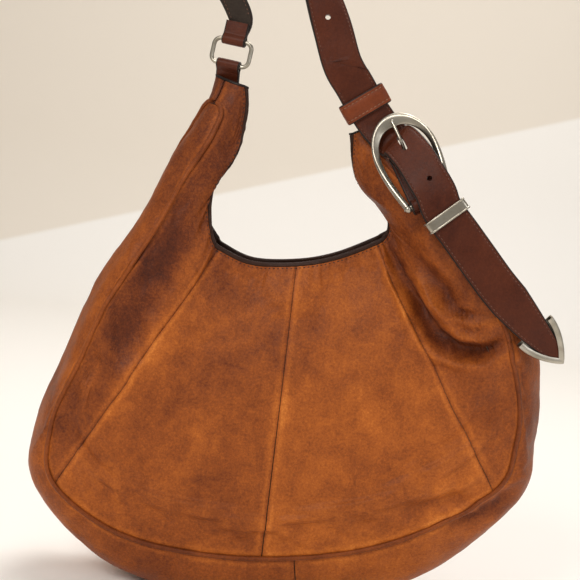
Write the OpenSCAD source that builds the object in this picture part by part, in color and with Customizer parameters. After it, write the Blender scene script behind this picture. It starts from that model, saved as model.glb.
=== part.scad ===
// Large leather hobo bag with a ring-and-buckle shoulder strap. All sizes in millimetres.
// +X is the wearer's right as the front is faced, the front faces -Y, +Z is up.
// The origin is the middle of the flattened base, on the ground.

/* [Shell] */
// Thickness of the shell leather
leather_t = 2.2; // [1.8:0.1:2.4]
// Outward swell of the front and back walls, as a share of the relaxed bag
wall_swell = 1; // [0.8:0.05:1.05]
// Radius of the piping cord
piping_r = 1.9; // [1.5:0.1:2]
// Width of the bound edge of the opening
binding_w = 3.4; // [2.6:0.2:4]

/* [Strap] */
// Width of the strap
strap_w = 32; // [28:1:33]
// Thickness of the strap, two layers of leather
strap_t = 4.2; // [3.6:0.1:4.2]
// Radius of a punched strap hole
hole_r = 2.2; // [1.8:0.1:2.6]

/* [Metal fittings] */
// Wire radius of the strap ring
ring_wire_r = 1.8; // [1.5:0.1:1.8]
// Outer width of the strap ring
ring_w = 36; // [34:1:38]
// Radius of the buckle's heel bar
heel_bar_r = 2.4; // [2:0.1:2.4]
// Radius of the buckle's prong
prong_r = 1.3; // [1:0.1:1.4]

/* [Pocket] */
// Length of the zip
zip_l = 150; // [120:5:160]

/* [Part] */
// Sub-part to build

/* [Hidden] */

COGNAC = [0.55, 0.30, 0.14];
CHOCOLATE = [0.24, 0.12, 0.08];
EDGE_DARK = [0.10, 0.06, 0.05];
NICKEL = [0.70, 0.69, 0.66];
LINING = [0.36, 0.28, 0.22];

Y = [0, 1, 0];
SEAM_GAP = 0.3;          // half the gap left between two sewn edges
LINING_GAP = 1.5;        // between the leather and the lining
LINING_T = 0.8;
GUSSET_EASE = 0.6;
U_STEP = 0.03;           // step for the surface normals, along the ribs
V_STEP = 0.01;           // step for the surface normals, across them

// The bag is drawn by ribs that fan round the opening, from the left horn's end, down round the base,
// to the right horn's end. Each rib: the inner edge's x, z; the piping's x, z; half the depth at the inner
// edge and at the piping; the gusset's bulge; the wall's swell; the horn's twist; the middle plane's y.
RIBS = [
    [-66.5, 431, -69.5, 432, 19, 17,  7,  0, 50, -2],
    [-64,   409, -71,   411, 20, 19, 14,  1, 45, -2],
    [-67,   378, -82,   382, 21, 22, 18,  3, 38, -1],
    [-78,   350, -99,   350, 22, 26, 17,  5, 26,  0],
    [-76,   328, -117,  302, 23, 31, 17,  8, 14,  0],
    [-72,   312, -145,  246, 23, 37, 19, 12,  6,  0],
    [-69,   305, -165,  186, 22, 42, 21, 16,  2,  0],
    [-66,   300, -181,  134, 22, 45, 22, 19,  0,  0],
    [-61,   295, -174,   86, 21, 46, 26, 20,  0,  0],
    [-34,   286, -105,   48, 20, 46, 42, 21,  0,  0],
    [3,     289, 2,      44, 20, 46, 52, 22,  0,  0],
    [34,    298, 105,    69, 20, 46, 50, 21,  0,  0],
    [65,    314, 184,   122, 21, 46, 32, 20,  0,  0],
    [71,    319, 197,   165, 22, 45, 24, 19,  2,  0],
    [75,    324, 194,   207, 22, 42, 24, 16,  7,  1],
    [77,    331, 177,   258, 23, 38, 26, 12, 18,  5],
    [73,    341, 142,   306, 22, 34, 28,  8, 31,  9],
    [64,    354, 106,   348, 22, 29, 26,  5, 42,  9],
    [57,    371, 80,    375, 21, 24, 18,  3, 47,  4],
    [51,    388, 60,    391, 20, 19, 12,  1, 49, -1],
    [47,    403, 50,    404, 19, 17,  7,  0, 50, -4]
];
LAST = len(RIBS) - 1;
SEAM_L = 8;              // ribs that carry the seams of the walls
SEAM_C = 10;
SEAM_R = 12;
GUSSET_SEAM = 10.25;
TONGUE_L = 1.05;         // where the gusset ends in a rounded tongue on each horn
TONGUE_R = LAST - 1.05;
TRIM_U = 0.16;           // ribs covered by the trim at a horn's end

// A smooth curve through a list of rows.
function blend(rows, u) =
    let (i = max(0, min(floor(u), len(rows) - 2)), t = u - i,
         a = rows[max(i - 1, 0)], b = rows[i], c = rows[i + 1], d = rows[min(i + 2, len(rows) - 1)])
    0.5 * (2 * b + (c - a) * t + (2 * a - 5 * b + 4 * c - d) * t * t + (3 * b - a - 3 * c + d) * t * t * t);

function unit(v) = v / norm(v);
function clamp(x, low, high) = min(max(x, low), high);
function steps(a, b, n) = [for (i = [0 : n]) a + (b - a) * i / n];

// A rib's frame: middle of its edge, directions, and sizes.
function rib(u) =
    let (r = blend(RIBS, u), q1 = blend(RIBS, min(u + 0.05, LAST)), q0 = blend(RIBS, max(u - 0.05, 0)),
         along = unit([q1[2] - q0[2], 0, q1[3] - q0[3]]), out = [along[2], 0, -along[0]],
         reach = [r[2] - r[0], 0, r[3] - r[1]], n = unit(reach), c = cos(r[8]), s = sin(r[8]))
    [[r[0], r[9], r[1]], n * c - Y * s, Y * c + n * s, out * c - Y * s,
     norm(reach), r[4], r[5], r[6], r[7] * wall_swell];

// A point of the outer surface. v: 0 front edge, 1 front corner, 2 outermost line, 3 back corner, 4 back edge.
function skin(k, v) =
    let (side = v <= 2 ? -1 : 1, w = v <= 2 ? v : 4 - v, turn = 90 * (2 - w),
         p = w <= 1
             ? k[0] + k[1] * k[4] * w + k[2] * side * (k[5] + (k[6] - k[5]) * w + k[8] * sin(180 * w))
             : k[0] + k[1] * k[4] + k[3] * k[7] * cos(turn) + k[2] * side * k[6] * sin(turn))
    [p[0], p[1], max(p[2], 0)];

// The points at one rib for a list of v, each moved inward by depth.
function rib_points(u, vs, depth) =
    let (k = rib(u), ka = rib(u - U_STEP), kb = rib(u + U_STEP))
    [for (v = vs)
        skin(k, v) + depth * unit(cross(skin(kb, v) - skin(ka, v), skin(k, v + V_STEP) - skin(k, v - V_STEP)))];

// Half-width of the gusset, 1 at the corners of the body and 0 at the tip of a tongue.
function tongue(x) =
    let (c = clamp(x, 0, 1), q = 1 - min(c / 0.12, 1)) 0.42 * sqrt(1 - q * q) + 0.58 * pow(c, 1.1);
function gusset_half(u) = min(tongue((u - TONGUE_L) / 3.6), tongue((TONGUE_R - u) / 4.6));

// v at a distance d (mm) from the piping line, towards the front edge.
function v_before(u, d) =
    let (r = blend(RIBS, u), arc = 0.8 * (r[6] + r[7]), reach = norm([r[2] - r[0], r[3] - r[1]]),
         over = (1 - gusset_half(u)) * arc)
    over >= d ? 2 - gusset_half(u) - d / arc : 1 - (d - over) / reach;
function v_after(u, d) =
    let (r = blend(RIBS, u)) 2 - gusset_half(u) + d / (0.8 * (r[6] + r[7]));
// v at a distance d from the front edge.
function v_edge(u, d) =
    let (r = blend(RIBS, u), reach = norm([r[2] - r[0], r[3] - r[1]]), arc = 0.8 * (r[6] + r[7]))
    d <= reach ? d / reach : 1 + (d - reach) / arc;
function mirrored(vs) = [for (v = vs) 4 - v];

// A closed sheet between two grids of points.
module sheet(outer, inner) {
    n = len(outer);
    m = len(outer[0]);
    q = n * m;
    points = [for (g = [outer, inner], row = g, p = row) p];
    faces = [
        for (i = [0 : n - 2], j = [0 : m - 2])
            let (a = i * m + j, b = a + m)
            each [[a, b, a + 1], [b, b + 1, a + 1], [q + a, q + a + 1, q + b], [q + b, q + a + 1, q + b + 1]],
        for (i = [0 : n - 2])
            let (a = i * m, b = a + m, c = a + m - 1, d = b + m - 1)
            each [[b, a, q + a], [b, q + a, q + b], [c, d, q + d], [c, q + d, q + c]],
        for (j = [0 : m - 2])
            let (a = j, c = q - m + j)
            each [[a, a + 1, q + a + 1], [a, q + a + 1, q + a], [c + 1, c, q + c], [c + 1, q + c, q + c + 1]]
    ];
    polyhedron(points, faces, convexity = 10);
}

// A closed bar through a list of rings of points, each ring turning right-handed about the path.
module bar(rings) {
    n = len(rings);
    k = len(rings[0]);
    faces = [
        for (i = [0 : n - 2], j = [0 : k - 1])
            let (a = i * k + j, b = i * k + (j + 1) % k)
            each [[a, a + k, b], [b, a + k, b + k]],
        for (j = [1 : k - 2]) [0, j, j + 1],
        for (j = [1 : k - 2]) let (e = (n - 1) * k) [e, e + j + 1, e + j]
    ];
    polyhedron([for (r = rings, p = r) p], faces, convexity = 10);
}

// Rings of a flat strap with softened corners, along a path with a face direction at each point.
function strap_rings(path, face, width, thick) =
    let (n = len(path))
    [for (i = [0 : n - 1])
        let (t = unit(path[min(i + 1, n - 1)] - path[max(i - 1, 0)]),
             w = unit(cross(face[i], t)), f = cross(t, w),
             a = width[i] / 2, b = thick / 2, c = 1)
        [for (q = [[a, c - b], [a, b - c], [a - c, b], [c - a, b], [-a, b - c], [-a, c - b], [c - a, -b], [a - c, -b]])
            path[i] + w * q[0] + f * q[1]]];

// ---- Shell ----

module wall_panel(u0, u1, nu, nv, back) {
    us = steps(u0, u1, nu);
    vs = [for (u = us)
        let (top = v_edge(u, binding_w + SEAM_GAP),
             low = u > TONGUE_L && u < TONGUE_R ? v_before(u, piping_r + SEAM_GAP) : 2 - SEAM_GAP / 12)
        steps(top, low, nv)];
    outer = [for (i = [0 : nu]) rib_points(us[i], back ? mirrored(vs[i]) : vs[i], 0)];
    inner = [for (i = [0 : nu]) rib_points(us[i], back ? mirrored(vs[i]) : vs[i], leather_t)];
    if (back) sheet(inner, outer);
    else sheet(outer, inner);
}

RIB_GAP = 0.004;         // half the gap at a wall seam, in ribs

module front_panel_outer_left() color(COGNAC) wall_panel(TRIM_U + RIB_GAP, SEAM_L - RIB_GAP, 26, 9, false);
module front_panel_left() color(COGNAC) wall_panel(SEAM_L + RIB_GAP, SEAM_C - RIB_GAP, 8, 9, false);
module front_panel_right() color(COGNAC) wall_panel(SEAM_C + RIB_GAP, SEAM_R - RIB_GAP, 8, 9, false);
module front_panel_outer_right() color(COGNAC) wall_panel(SEAM_R + RIB_GAP, LAST - TRIM_U - RIB_GAP, 26, 9, false);
module back_panel_outer_left() color(COGNAC) wall_panel(TRIM_U + RIB_GAP, SEAM_L - RIB_GAP, 26, 9, true);
module back_panel_left() color(COGNAC) wall_panel(SEAM_L + RIB_GAP, SEAM_C - RIB_GAP, 8, 9, true);
module back_panel_right() color(COGNAC) wall_panel(SEAM_C + RIB_GAP, SEAM_R - RIB_GAP, 8, 9, true);
module back_panel_outer_right() color(COGNAC) wall_panel(SEAM_R + RIB_GAP, LAST - TRIM_U - RIB_GAP, 26, 9, true);

module gusset(u0, u1, nu) {
    us = steps(u0, u1, nu);
    vs = [for (u = us) let (a = v_after(u, piping_r + SEAM_GAP)) steps(a, 4 - a, 10)];
    sheet([for (i = [0 : nu]) rib_points(us[i], vs[i], 0)],
          [for (i = [0 : nu]) rib_points(us[i], vs[i], leather_t)]);
}

GUSSET_START = 0.12;     // from a tongue's tip to where the gusset is wide enough to sew

module gusset_left() color(COGNAC) gusset(TONGUE_L + GUSSET_START, GUSSET_SEAM - RIB_GAP, 32);
module gusset_right() color(COGNAC) gusset(GUSSET_SEAM + RIB_GAP, TONGUE_R - GUSSET_START, 32);

// A cord along the line v(u), lifted a little out of the surface.
module cord(us, vs, r, lift) {
    line = [for (i = [0 : len(us) - 1]) rib_points(us[i], [vs[i]], -lift)[0]];
    core = [for (i = [0 : len(us) - 1]) rib_points(us[i], [vs[i]], leather_t)[0]];
    n = len(us);
    bar([for (i = [0 : n - 1])
        let (t = unit(line[min(i + 1, n - 1)] - line[max(i - 1, 0)]),
             f = unit(cross(t, cross(line[i] - core[i], t))), w = cross(f, t))
        [for (a = [0 : 60 : 300]) line[i] + r * (w * cos(a) + f * sin(a))]]);
}

PIPING_START = 0.02;
// Ribs of the piping, closer together round the tongues' tips.
PIPING_US = [
    for (s = [0 : 7]) TONGUE_L + PIPING_START + 0.42 * pow(s / 8, 2),
    each steps(TONGUE_L + 0.46, TONGUE_R - 0.46, 60),
    for (s = [7 : -1 : 0]) TONGUE_R - PIPING_START - 0.42 * pow(s / 8, 2)
];

module piping_front() color(COGNAC * 0.8)
    cord(PIPING_US, [for (u = PIPING_US) 2 - gusset_half(u)], piping_r, -0.4);
module piping_back() color(COGNAC * 0.8)
    cord(PIPING_US, [for (u = PIPING_US) 2 + gusset_half(u)], piping_r, -0.4);

module binding(back) {
    us = steps(TRIM_U + RIB_GAP, LAST - TRIM_U - RIB_GAP, 70);
    vs = [for (u = us) [0, v_edge(u, binding_w)]];
    outer = [for (i = [0 : 70]) rib_points(us[i], back ? mirrored(vs[i]) : vs[i], -0.5)];
    inner = [for (i = [0 : 70]) rib_points(us[i], back ? mirrored(vs[i]) : vs[i], leather_t + 0.5)];
    if (back) sheet(inner, outer);
    else sheet(outer, inner);
}
module binding_front() color(EDGE_DARK) binding(false);
module binding_back() color(EDGE_DARK) binding(true);

module horn_trim(u0, u1) {
    us = steps(u0, u1, 3);
    vs = concat(steps(0, 1, 3), steps(1.1, 2.9, 12), steps(3, 4, 3));
    sheet([for (u = us) rib_points(u, vs, -0.5)], [for (u = us) rib_points(u, vs, leather_t + 0.5)]);
}
module horn_trim_left() color(EDGE_DARK) horn_trim(0, TRIM_U - RIB_GAP);
module horn_trim_right() color(EDGE_DARK) horn_trim(LAST - TRIM_U + RIB_GAP, LAST);

// Points of the lining at a rib; it lies a little looser over the gusset.
function lining_points(u, depth) =
    let (e = v_edge(u, binding_w + 2))
    concat(rib_points(u, steps(e, 1, 6), depth),
           rib_points(u, steps(1.2, 2.8, 8), depth + GUSSET_EASE),
           rib_points(u, steps(3, 4 - e, 6), depth));

module lining() color(LINING) {
    us = steps(1.2, LAST - 0.4, 60);
    depth = leather_t + LINING_GAP;
    sheet([for (u = us) lining_points(u, depth)], [for (u = us) lining_points(u, depth + LINING_T)]);
}

// ---- Left end: tab, ring and the strap's swing ----

SWING = [21, -27, 452];                    // where the strap flexes above the leather keeper
RING_TOP = [-69, -6, 463];                 // middle of the ring's upper bar
RING_AXIS = unit(SWING - RING_TOP);
RING_UP = unit([-RING_AXIS[2] / RING_AXIS[0], 0, 1]);
RING_FACE = cross(RING_AXIS, RING_UP);
RING_H = 20;                               // between the two bars of the ring
RING_CORNER = 5.5;
RING_LOW = RING_TOP - RING_UP * RING_H;
TAB_W = 20;
LOOP_GAP = 0.5;

// Places children with x, y, z of their frame along three directions.
module placed(at, dx, dy, dz)
    multmatrix([[dx[0], dy[0], dz[0], at[0]], [dx[1], dy[1], dz[1], at[1]], [dx[2], dy[2], dz[2], at[2]]])
        children();

module ring_corner(x, y, turn)
    translate([x, y, 0]) rotate([0, 0, turn])
        rotate_extrude(angle = 90, $fn = 48) translate([RING_CORNER, 0]) circle(r = ring_wire_r, $fn = 24);
module ring_side(x, y, l, turn)
    translate([x, y, 0]) rotate([0, 0, turn]) rotate([-90, 0, 0])
        cylinder(h = l, r = ring_wire_r, center = true, $fn = 24);

module strap_ring() color(NICKEL)
    placed(RING_LOW, RING_AXIS, RING_UP, RING_FACE) {
        a = ring_w / 2 - ring_wire_r;
        b = a - RING_CORNER;
        ring_side(0, 0, 2 * b, 90);
        ring_side(0, RING_H, 2 * b, 90);
        ring_side(-a, RING_H / 2, RING_H - 2 * RING_CORNER, 0);
        ring_side(a, RING_H / 2, RING_H - 2 * RING_CORNER, 0);
        ring_corner(b, RING_CORNER, -90);
        ring_corner(b, RING_H - RING_CORNER, 0);
        ring_corner(-b, RING_H - RING_CORNER, 90);
        ring_corner(-b, RING_CORNER, 180);
    }

// A leather loop round a bar along x, with its tongue leaving along -y.
module loop(bar_r, width, thick, tongue_l) {
    r = bar_r + LOOP_GAP;
    difference() {
        union() {
            rotate([0, 90, 0]) cylinder(h = width, r = r + thick, center = true, $fn = 48);
            translate([-width / 2, -tongue_l, -thick]) cube([width, tongue_l, 2 * thick]);
        }
        rotate([0, 90, 0]) cylinder(h = width + 2, r = r, center = true, $fn = 48);
    }
}

TAB_DOWN = unit([0, 0.47, -1] - RING_AXIS * ([0, 0.47, -1] * RING_AXIS));
module ring_tab() color(CHOCOLATE)
    placed(RING_LOW, RING_AXIS, -TAB_DOWN, cross(RING_AXIS, -TAB_DOWN))
        loop(ring_wire_r, TAB_W, 1.9, 22);

// ---- Strap ----

// Middle line of the shoulder arch, from the flex up over the shoulder and down to the ring.
ARCH = [
    [33, -25.5, 436], [21, -27, 452], [10, -24, 479], [-2, -20, 507], [-16, -16, 538], [-34, -12, 568],
    [-56, -8, 588], [-80, -7, 590], [-98, -7, 576], [-101, -8, 555], [-93, -9, 532], [-83, -9, 510],
    RING_TOP - RING_FACE * 2 + RING_UP * 14
];
ARCH_FACE = [
    [0, -1, 0], [0, -1, 0], [0.1, -1, 0.1], [0.45, -1, 0.4], [0.9, -0.8, 0.9], [0.6, -0.2, 1],
    [0.15, 0, 1], [-0.4, 0.05, 1], [-1, 0.15, 0.4], [-1, 0.4, 0], [-0.75, 0.8, 0.2], [-0.35, 1, 0.1],
    -RING_FACE
];
ARCH_WIDE = 11;          // from this point on the strap narrows to pass through the ring
SWING_GAP = 3.2;         // half the gap left at the flex, so that the strap can swing
ARCH_STEPS = 44;

module strap_arch() color(CHOCOLATE) {
    us = steps(0, len(ARCH) - 1, ARCH_STEPS);
    width = [for (u = us) strap_w - (strap_w - TAB_W) * clamp((u - ARCH_WIDE + 1.6) / 2, 0, 1)];
    difference() {
        bar(strap_rings([for (u = us) blend(ARCH, u)], [for (u = us) -blend(ARCH_FACE, u)], width, strap_t));
        placed(SWING, RING_AXIS, cross(SWING_UP, RING_AXIS), SWING_UP)
            translate([-40, -40, SWING_GAP - 60]) cube([80, 80, 60]);
        placed(SWING - UPPER_HOLE, [1, 0, 0], [0, 0, 1], [0, -1, 0]) cylinder(h = 20, r = hole_r, center = true, $fn = 32);
    }
    placed(RING_TOP, RING_AXIS, -RING_UP, cross(RING_AXIS, -RING_UP))
        loop(ring_wire_r, TAB_W, 2.1, 13);
}
SWING_UP = unit([-0.39, 0, 0.92] - RING_AXIS * ([-0.39, 0, 0.92] * RING_AXIS));
UPPER_HOLE = [16, 0, -36];

// Middle line of the tail, from the flex through the buckle to the tip.
TAIL = [
    [10, -24, 479], [21, -27, 452], [33, -25.5, 436], [45, -24, 420], [58, -25.8, 405.3], [68.7, -31.3, 396.1],
    [74, -43.8, 394.9], [84.4, -56.3, 384.4], [94, -66, 371.5], [103.3, -71, 358.6], [110, -72.5, 346],
    [125.5, -74.2, 329], [141, -75.9, 312], [156.5, -77.6, 295], [172, -78.5, 280], [188, -77, 265],
    [203, -73.5, 252], [218, -70, 239]
];
TAIL_STEPS = 68;
// The tail faces the front, and lies parallel to the buckle where it passes through it.
function tail_face(u) = -Y + (B_FACE + Y) * clamp(min(u - 3.1, 9.8 - u), 0, 1);

module strap_tail() color(CHOCOLATE) {
    us = steps(0, len(TAIL) - 1, TAIL_STEPS);
    width = [for (u = us) min(strap_w, 4 + 18.4 * sqrt(max(0, len(TAIL) - 1 - u)))];
    difference() {
        bar(strap_rings([for (u = us) blend(TAIL, u)], [for (u = us) tail_face(u)], width, strap_t));
        placed(SWING, RING_AXIS, cross(SWING_UP, RING_AXIS), SWING_UP)
            translate([-40, -40, -SWING_GAP]) cube([80, 80, 60]);
        placed(HEEL, B_RIGHT, B_TOE, B_FACE) {
            translate([0, 52, 0]) prong_slot(17, 2.3, 30);
            translate([7, 12, 0]) cylinder(h = 30, r = hole_r, $fn = 32);
        }
    }
}

// A straight slot along y with round ends.
module prong_slot(l, r, h) {
    for (y = [-l / 2 + r, l / 2 - r]) translate([0, y, 0]) cylinder(h = h, r = r, center = true, $fn = 32);
    cube([2 * r, l - 2 * r, h], center = true);
}

// A band round the strap: outer size, wall, and height along the strap.
module band(w, d, h, wall, round_r) {
    difference() {
        band_block(w, d, h, round_r);
        band_block(w - 2 * wall, d - 2 * wall, h + 2, round_r - wall);
    }
}
module band_block(w, d, h, r) {
    cube([w - 2 * r, h, d], center = true);
    cube([w, h, d - 2 * r], center = true);
    for (x = [-1, 1], z = [-1, 1])
        translate([x * (w / 2 - r), 0, z * (d / 2 - r)]) rotate([90, 0, 0])
            cylinder(h = h, r = r, center = true, $fn = 32);
}

KEEPER_AT = [43, -24.2, 422.7];
KEEPER_DOWN = unit([24, 3, -32]);
KEEPER_FACE = unit(-Y + KEEPER_DOWN * (Y * KEEPER_DOWN));
module leather_keeper() color(COGNAC * 0.75)
    placed(KEEPER_AT, cross(KEEPER_FACE, KEEPER_DOWN), KEEPER_DOWN, KEEPER_FACE)
        band(strap_w + 8, 11.4, 17, 2.3, 4.6);

METAL_KEEPER_AT = [114, -72.9, 341.6];
METAL_KEEPER_DOWN = unit([46.5, -5.1, -51]);
METAL_KEEPER_FACE = unit(-Y + METAL_KEEPER_DOWN * (Y * METAL_KEEPER_DOWN));
module metal_keeper() color(NICKEL)
    placed(METAL_KEEPER_AT, cross(METAL_KEEPER_FACE, METAL_KEEPER_DOWN), METAL_KEEPER_DOWN, METAL_KEEPER_FACE) {
        band(strap_w + 4.4, 8.2, 9.5, 1.3, 2.9);
        for (y = [-1, 1]) translate([0, y * 4, 0]) band(strap_w + 5.6, 9.4, 1.5, 1.9, 3.5);
    }

TIP_END = [218, -70, 239];
TIP_DOWN = unit([15, 3.5, -13]);
TIP_FACE = unit(-Y + TIP_DOWN * (Y * TIP_DOWN));
TIP_L = 34;
TIP_WALL = 1.1;
// A pointed arch of width w and length l, its base along x.
function arch_outline(w, l) = [
    for (t = [0 : 0.1 : 0.95]) [w / 2 * pow(1 - pow(t, 2.2), 0.75), l * t],
    [0, l],
    for (t = [0.9 : -0.1 : -0.05]) [-w / 2 * pow(1 - pow(max(t, 0), 2.2), 0.75), l * t]
];
module strap_tip() color(NICKEL)
    placed(TIP_END, cross(TIP_FACE, TIP_DOWN), TIP_DOWN, TIP_FACE)
        translate([0, -TIP_L, 0]) difference() {
            translate([0, 0, -strap_t / 2 - TIP_WALL - 0.4])
                linear_extrude(strap_t + 2 * TIP_WALL + 0.8) polygon(arch_outline(strap_w + 3.4, TIP_L + 2));
            translate([0, -1, -strap_t / 2 - 0.4])
                linear_extrude(strap_t + 0.8) polygon(arch_outline(strap_w + 1, TIP_L + 1.5));
            translate([0, -2, 0]) linear_extrude(10) polygon(arch_outline(strap_w - 9, TIP_L - 6));
        }

// ---- Buckle ----

HEEL = [99, -64, 352];                     // middle of the heel bar
B_TOE = unit([-0.453, 0.412, 0.791]);      // from the heel bar to the toe
B_RIGHT = unit([B_TOE[2], 0, -B_TOE[0]]);
B_FACE = cross(B_RIGHT, B_TOE);
TOE_Y = 78;                                // middle of the toe's rim
HEEL_HALF = 17;                            // half the width between the rim's sides at the heel
SHOULDER = [23.5, 43];                     // where the rim is widest

// The rim's middle line, from the heel's right end round the toe to its left end.
RIM_SIDE = [for (t = [0 : 0.125 : 0.99])
    [HEEL_HALF + (SHOULDER[0] - HEEL_HALF) * sin(90 * t), SHOULDER[1] * t]];
RIM_TOE = [for (a = [0 : 6 : 90]) [SHOULDER[0] * cos(a), SHOULDER[1] + (TOE_Y - SHOULDER[1]) * sin(a)]];
RIM_RIGHT = concat(RIM_SIDE, RIM_TOE);
RIM = concat(RIM_RIGHT, [for (i = [len(RIM_RIGHT) - 2 : -1 : 0]) [-RIM_RIGHT[i][0], RIM_RIGHT[i][1]]]);
// The rim is round at the heel and a wide flat bevel at the toe.
function rim_half(y) = 2.7 + 3 * pow(y / TOE_Y, 7);
RIM_SECTION = [[0.95, -0.6], [0.6, -1], [-0.4, -1], [-1, -0.35], [-1, 0.1], [-0.2, 0.85], [0.35, 1], [0.8, 0.75], [1, 0]];
RIM_T = 2.7;

module buckle_frame() color(NICKEL)
    placed(HEEL, B_RIGHT, B_TOE, B_FACE) {
        n = len(RIM);
        bar([for (i = [0 : n - 1])
            let (t = unit(RIM[min(i + 1, n - 1)] - RIM[max(i - 1, 0)]), out = [t[1], -t[0]],
                 half = rim_half(RIM[i][1]), middle = RIM[i] - out * (half - 2.7))
            [for (q = RIM_SECTION) let (s = middle + out * q[0] * half) [s[0], s[1], q[1] * RIM_T]]]);
        rotate([0, 90, 0]) cylinder(h = 2 * HEEL_HALF, r = heel_bar_r, center = true, $fn = 40);
        for (x = [-HEEL_HALF, HEEL_HALF]) translate([x, -0.4, 0]) sphere(r = 3.3, $fn = 24);
    }

EYE_R = heel_bar_r + 0.35;
// The prong's path: from the eye, low behind the strap, up through its hole, to rest on the toe.
PRONG = [[3.4, -0.6], [8, -1.8], [14, -2.7], [28, -2.8], [42, -2.7], [48, 0.4], [54, 3.6], [60, 4.4], [74, 4.5]];
module buckle_prong() color(NICKEL)
    placed(HEEL, B_RIGHT, B_TOE, B_FACE) {
        difference() {
            rotate([0, 90, 0]) cylinder(h = 5, r = EYE_R + 1.7, center = true, $fn = 40);
            rotate([0, 90, 0]) cylinder(h = 7, r = EYE_R, center = true, $fn = 40);
        }
        bar([for (i = [0 : len(PRONG) - 1])
            let (t = unit(PRONG[min(i + 1, len(PRONG) - 1)] - PRONG[max(i - 1, 0)]))
            [for (a = [0 : 30 : 330])
                [prong_r * cos(a), PRONG[i][0] + prong_r * sin(a) * t[1], PRONG[i][1] - prong_r * sin(a) * t[0]]]]);
    }

CHAPE_W = 28;
CHAPE_UNDER = -9.2;                        // the chape's underside, which lies on the horn
module buckle_chape() color(CHOCOLATE)
    placed(HEEL, B_RIGHT, B_TOE, B_FACE)
        difference() {
            union() {
                rotate([0, 90, 0]) cylinder(h = CHAPE_W, r = heel_bar_r + LOOP_GAP + 2.1, center = true, $fn = 48);
                translate([-CHAPE_W / 2, -4.9, CHAPE_UNDER]) cube([CHAPE_W, 54, 2.8]);
                translate([-CHAPE_W / 2, -4.9, CHAPE_UNDER]) cube([CHAPE_W, 4, 9]);
            }
            rotate([0, 90, 0]) cylinder(h = CHAPE_W + 2, r = heel_bar_r + LOOP_GAP, center = true, $fn = 48);
            translate([-3.3, -5.4, -5.7]) cube([6.6, 12, 14]);
        }

// ---- Inside: magnetic snap and zip pocket ----

SNAP_Z = 268;
SNAP_X = 3;
SNAP_Y = 19.9;
module snap_socket() color(NICKEL)
    translate([SNAP_X, -SNAP_Y, SNAP_Z]) rotate([-90, 0, 0]) difference() {
        cylinder(h = 2.6, r = 8, $fn = 48);
        translate([0, 0, 1.2]) cylinder(h = 2, r = 3, $fn = 32);
    }
module snap_stud() color(NICKEL)
    translate([SNAP_X, SNAP_Y, SNAP_Z]) rotate([90, 0, 0]) {
        cylinder(h = 2.2, r = 8, $fn = 48);
        cylinder(h = 4, r = 2.4, $fn = 32);
    }

ZIP_Z = 196;
ZIP_Y = 40.4;
module pocket_patch() color(LINING * 0.8)
    translate([-zip_l / 2 + 3, ZIP_Y + 0.3, ZIP_Z - 108]) cube([zip_l, 1.2, 100]);
module zip_tape() color(LINING * 0.7)
    translate([-zip_l / 2 + 3, ZIP_Y, ZIP_Z - 6.5]) difference() {
        cube([zip_l, 1, 18]);
        translate([3, -1, 7.2]) cube([zip_l - 6, 3, 3.6]);
    }
module zip_teeth() color(NICKEL)
    for (x = [0 : 3 : zip_l - 14])
        translate([-zip_l / 2 + 8 + x, ZIP_Y - 0.3, ZIP_Z + 0.9]) cube([3.001, 1.4, x % 2 == 0 ? 3.1 : 2.9]);

SLIDER_X = -zip_l / 2 + 14;
module zip_slider() color(NICKEL)
    translate([SLIDER_X - 4.5, ZIP_Y - 3, ZIP_Z - 1.6]) cube([9, 2.2, 8]);
module zip_pull() color(NICKEL)
    translate([SLIDER_X, ZIP_Y - 4.6, ZIP_Z + 2.4]) difference() {
        union() {
            translate([-2.2, -0.8, -26]) cube([4.4, 1.6, 26]);
            rotate([0, 90, 0]) cylinder(h = 4.4, r = 0.8, center = true, $fn = 24);
        }
        translate([0, 2, -22]) rotate([90, 0, 0]) cylinder(h = 4, r = 1.2, $fn = 24);
    }

front_panel_outer_left();
front_panel_left();
front_panel_right();
front_panel_outer_right();
back_panel_outer_left();
back_panel_left();
back_panel_right();
back_panel_outer_right();
gusset_left();
gusset_right();
piping_front();
piping_back();
binding_front();
binding_back();
horn_trim_left();
horn_trim_right();
lining();
ring_tab();
strap_ring();
strap_arch();
strap_tail();
leather_keeper();
buckle_frame();
buckle_prong();
buckle_chape();
metal_keeper();
strap_tip();
snap_socket();
snap_stud();
pocket_patch();
zip_tape();
zip_teeth();
zip_slider();
zip_pull();
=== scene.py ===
"""Large leather hobo bag: a lofted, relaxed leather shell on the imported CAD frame.
Shapes are worked out in millimetres, in the frame's axes, and become metres in add()."""

import itertools
from math import cos, pi, radians, sin

import bmesh
import bpy
import numpy as np
from mathutils import Matrix, Vector


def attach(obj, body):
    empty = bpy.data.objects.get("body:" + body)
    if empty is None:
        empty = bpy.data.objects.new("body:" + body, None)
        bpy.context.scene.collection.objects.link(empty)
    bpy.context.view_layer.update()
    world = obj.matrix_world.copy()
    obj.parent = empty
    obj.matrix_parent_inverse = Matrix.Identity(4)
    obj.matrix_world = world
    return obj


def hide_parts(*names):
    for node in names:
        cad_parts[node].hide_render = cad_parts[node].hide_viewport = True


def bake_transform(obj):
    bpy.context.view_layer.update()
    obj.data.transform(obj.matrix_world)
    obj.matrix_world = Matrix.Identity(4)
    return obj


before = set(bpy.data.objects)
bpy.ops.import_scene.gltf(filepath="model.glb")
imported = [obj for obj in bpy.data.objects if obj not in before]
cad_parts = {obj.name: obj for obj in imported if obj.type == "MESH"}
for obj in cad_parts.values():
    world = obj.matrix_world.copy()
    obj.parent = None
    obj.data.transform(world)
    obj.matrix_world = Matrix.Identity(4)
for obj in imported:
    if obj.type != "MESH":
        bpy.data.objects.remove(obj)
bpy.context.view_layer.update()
MM = 0.001

# ---- Camera, lights and backdrop ----

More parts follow.
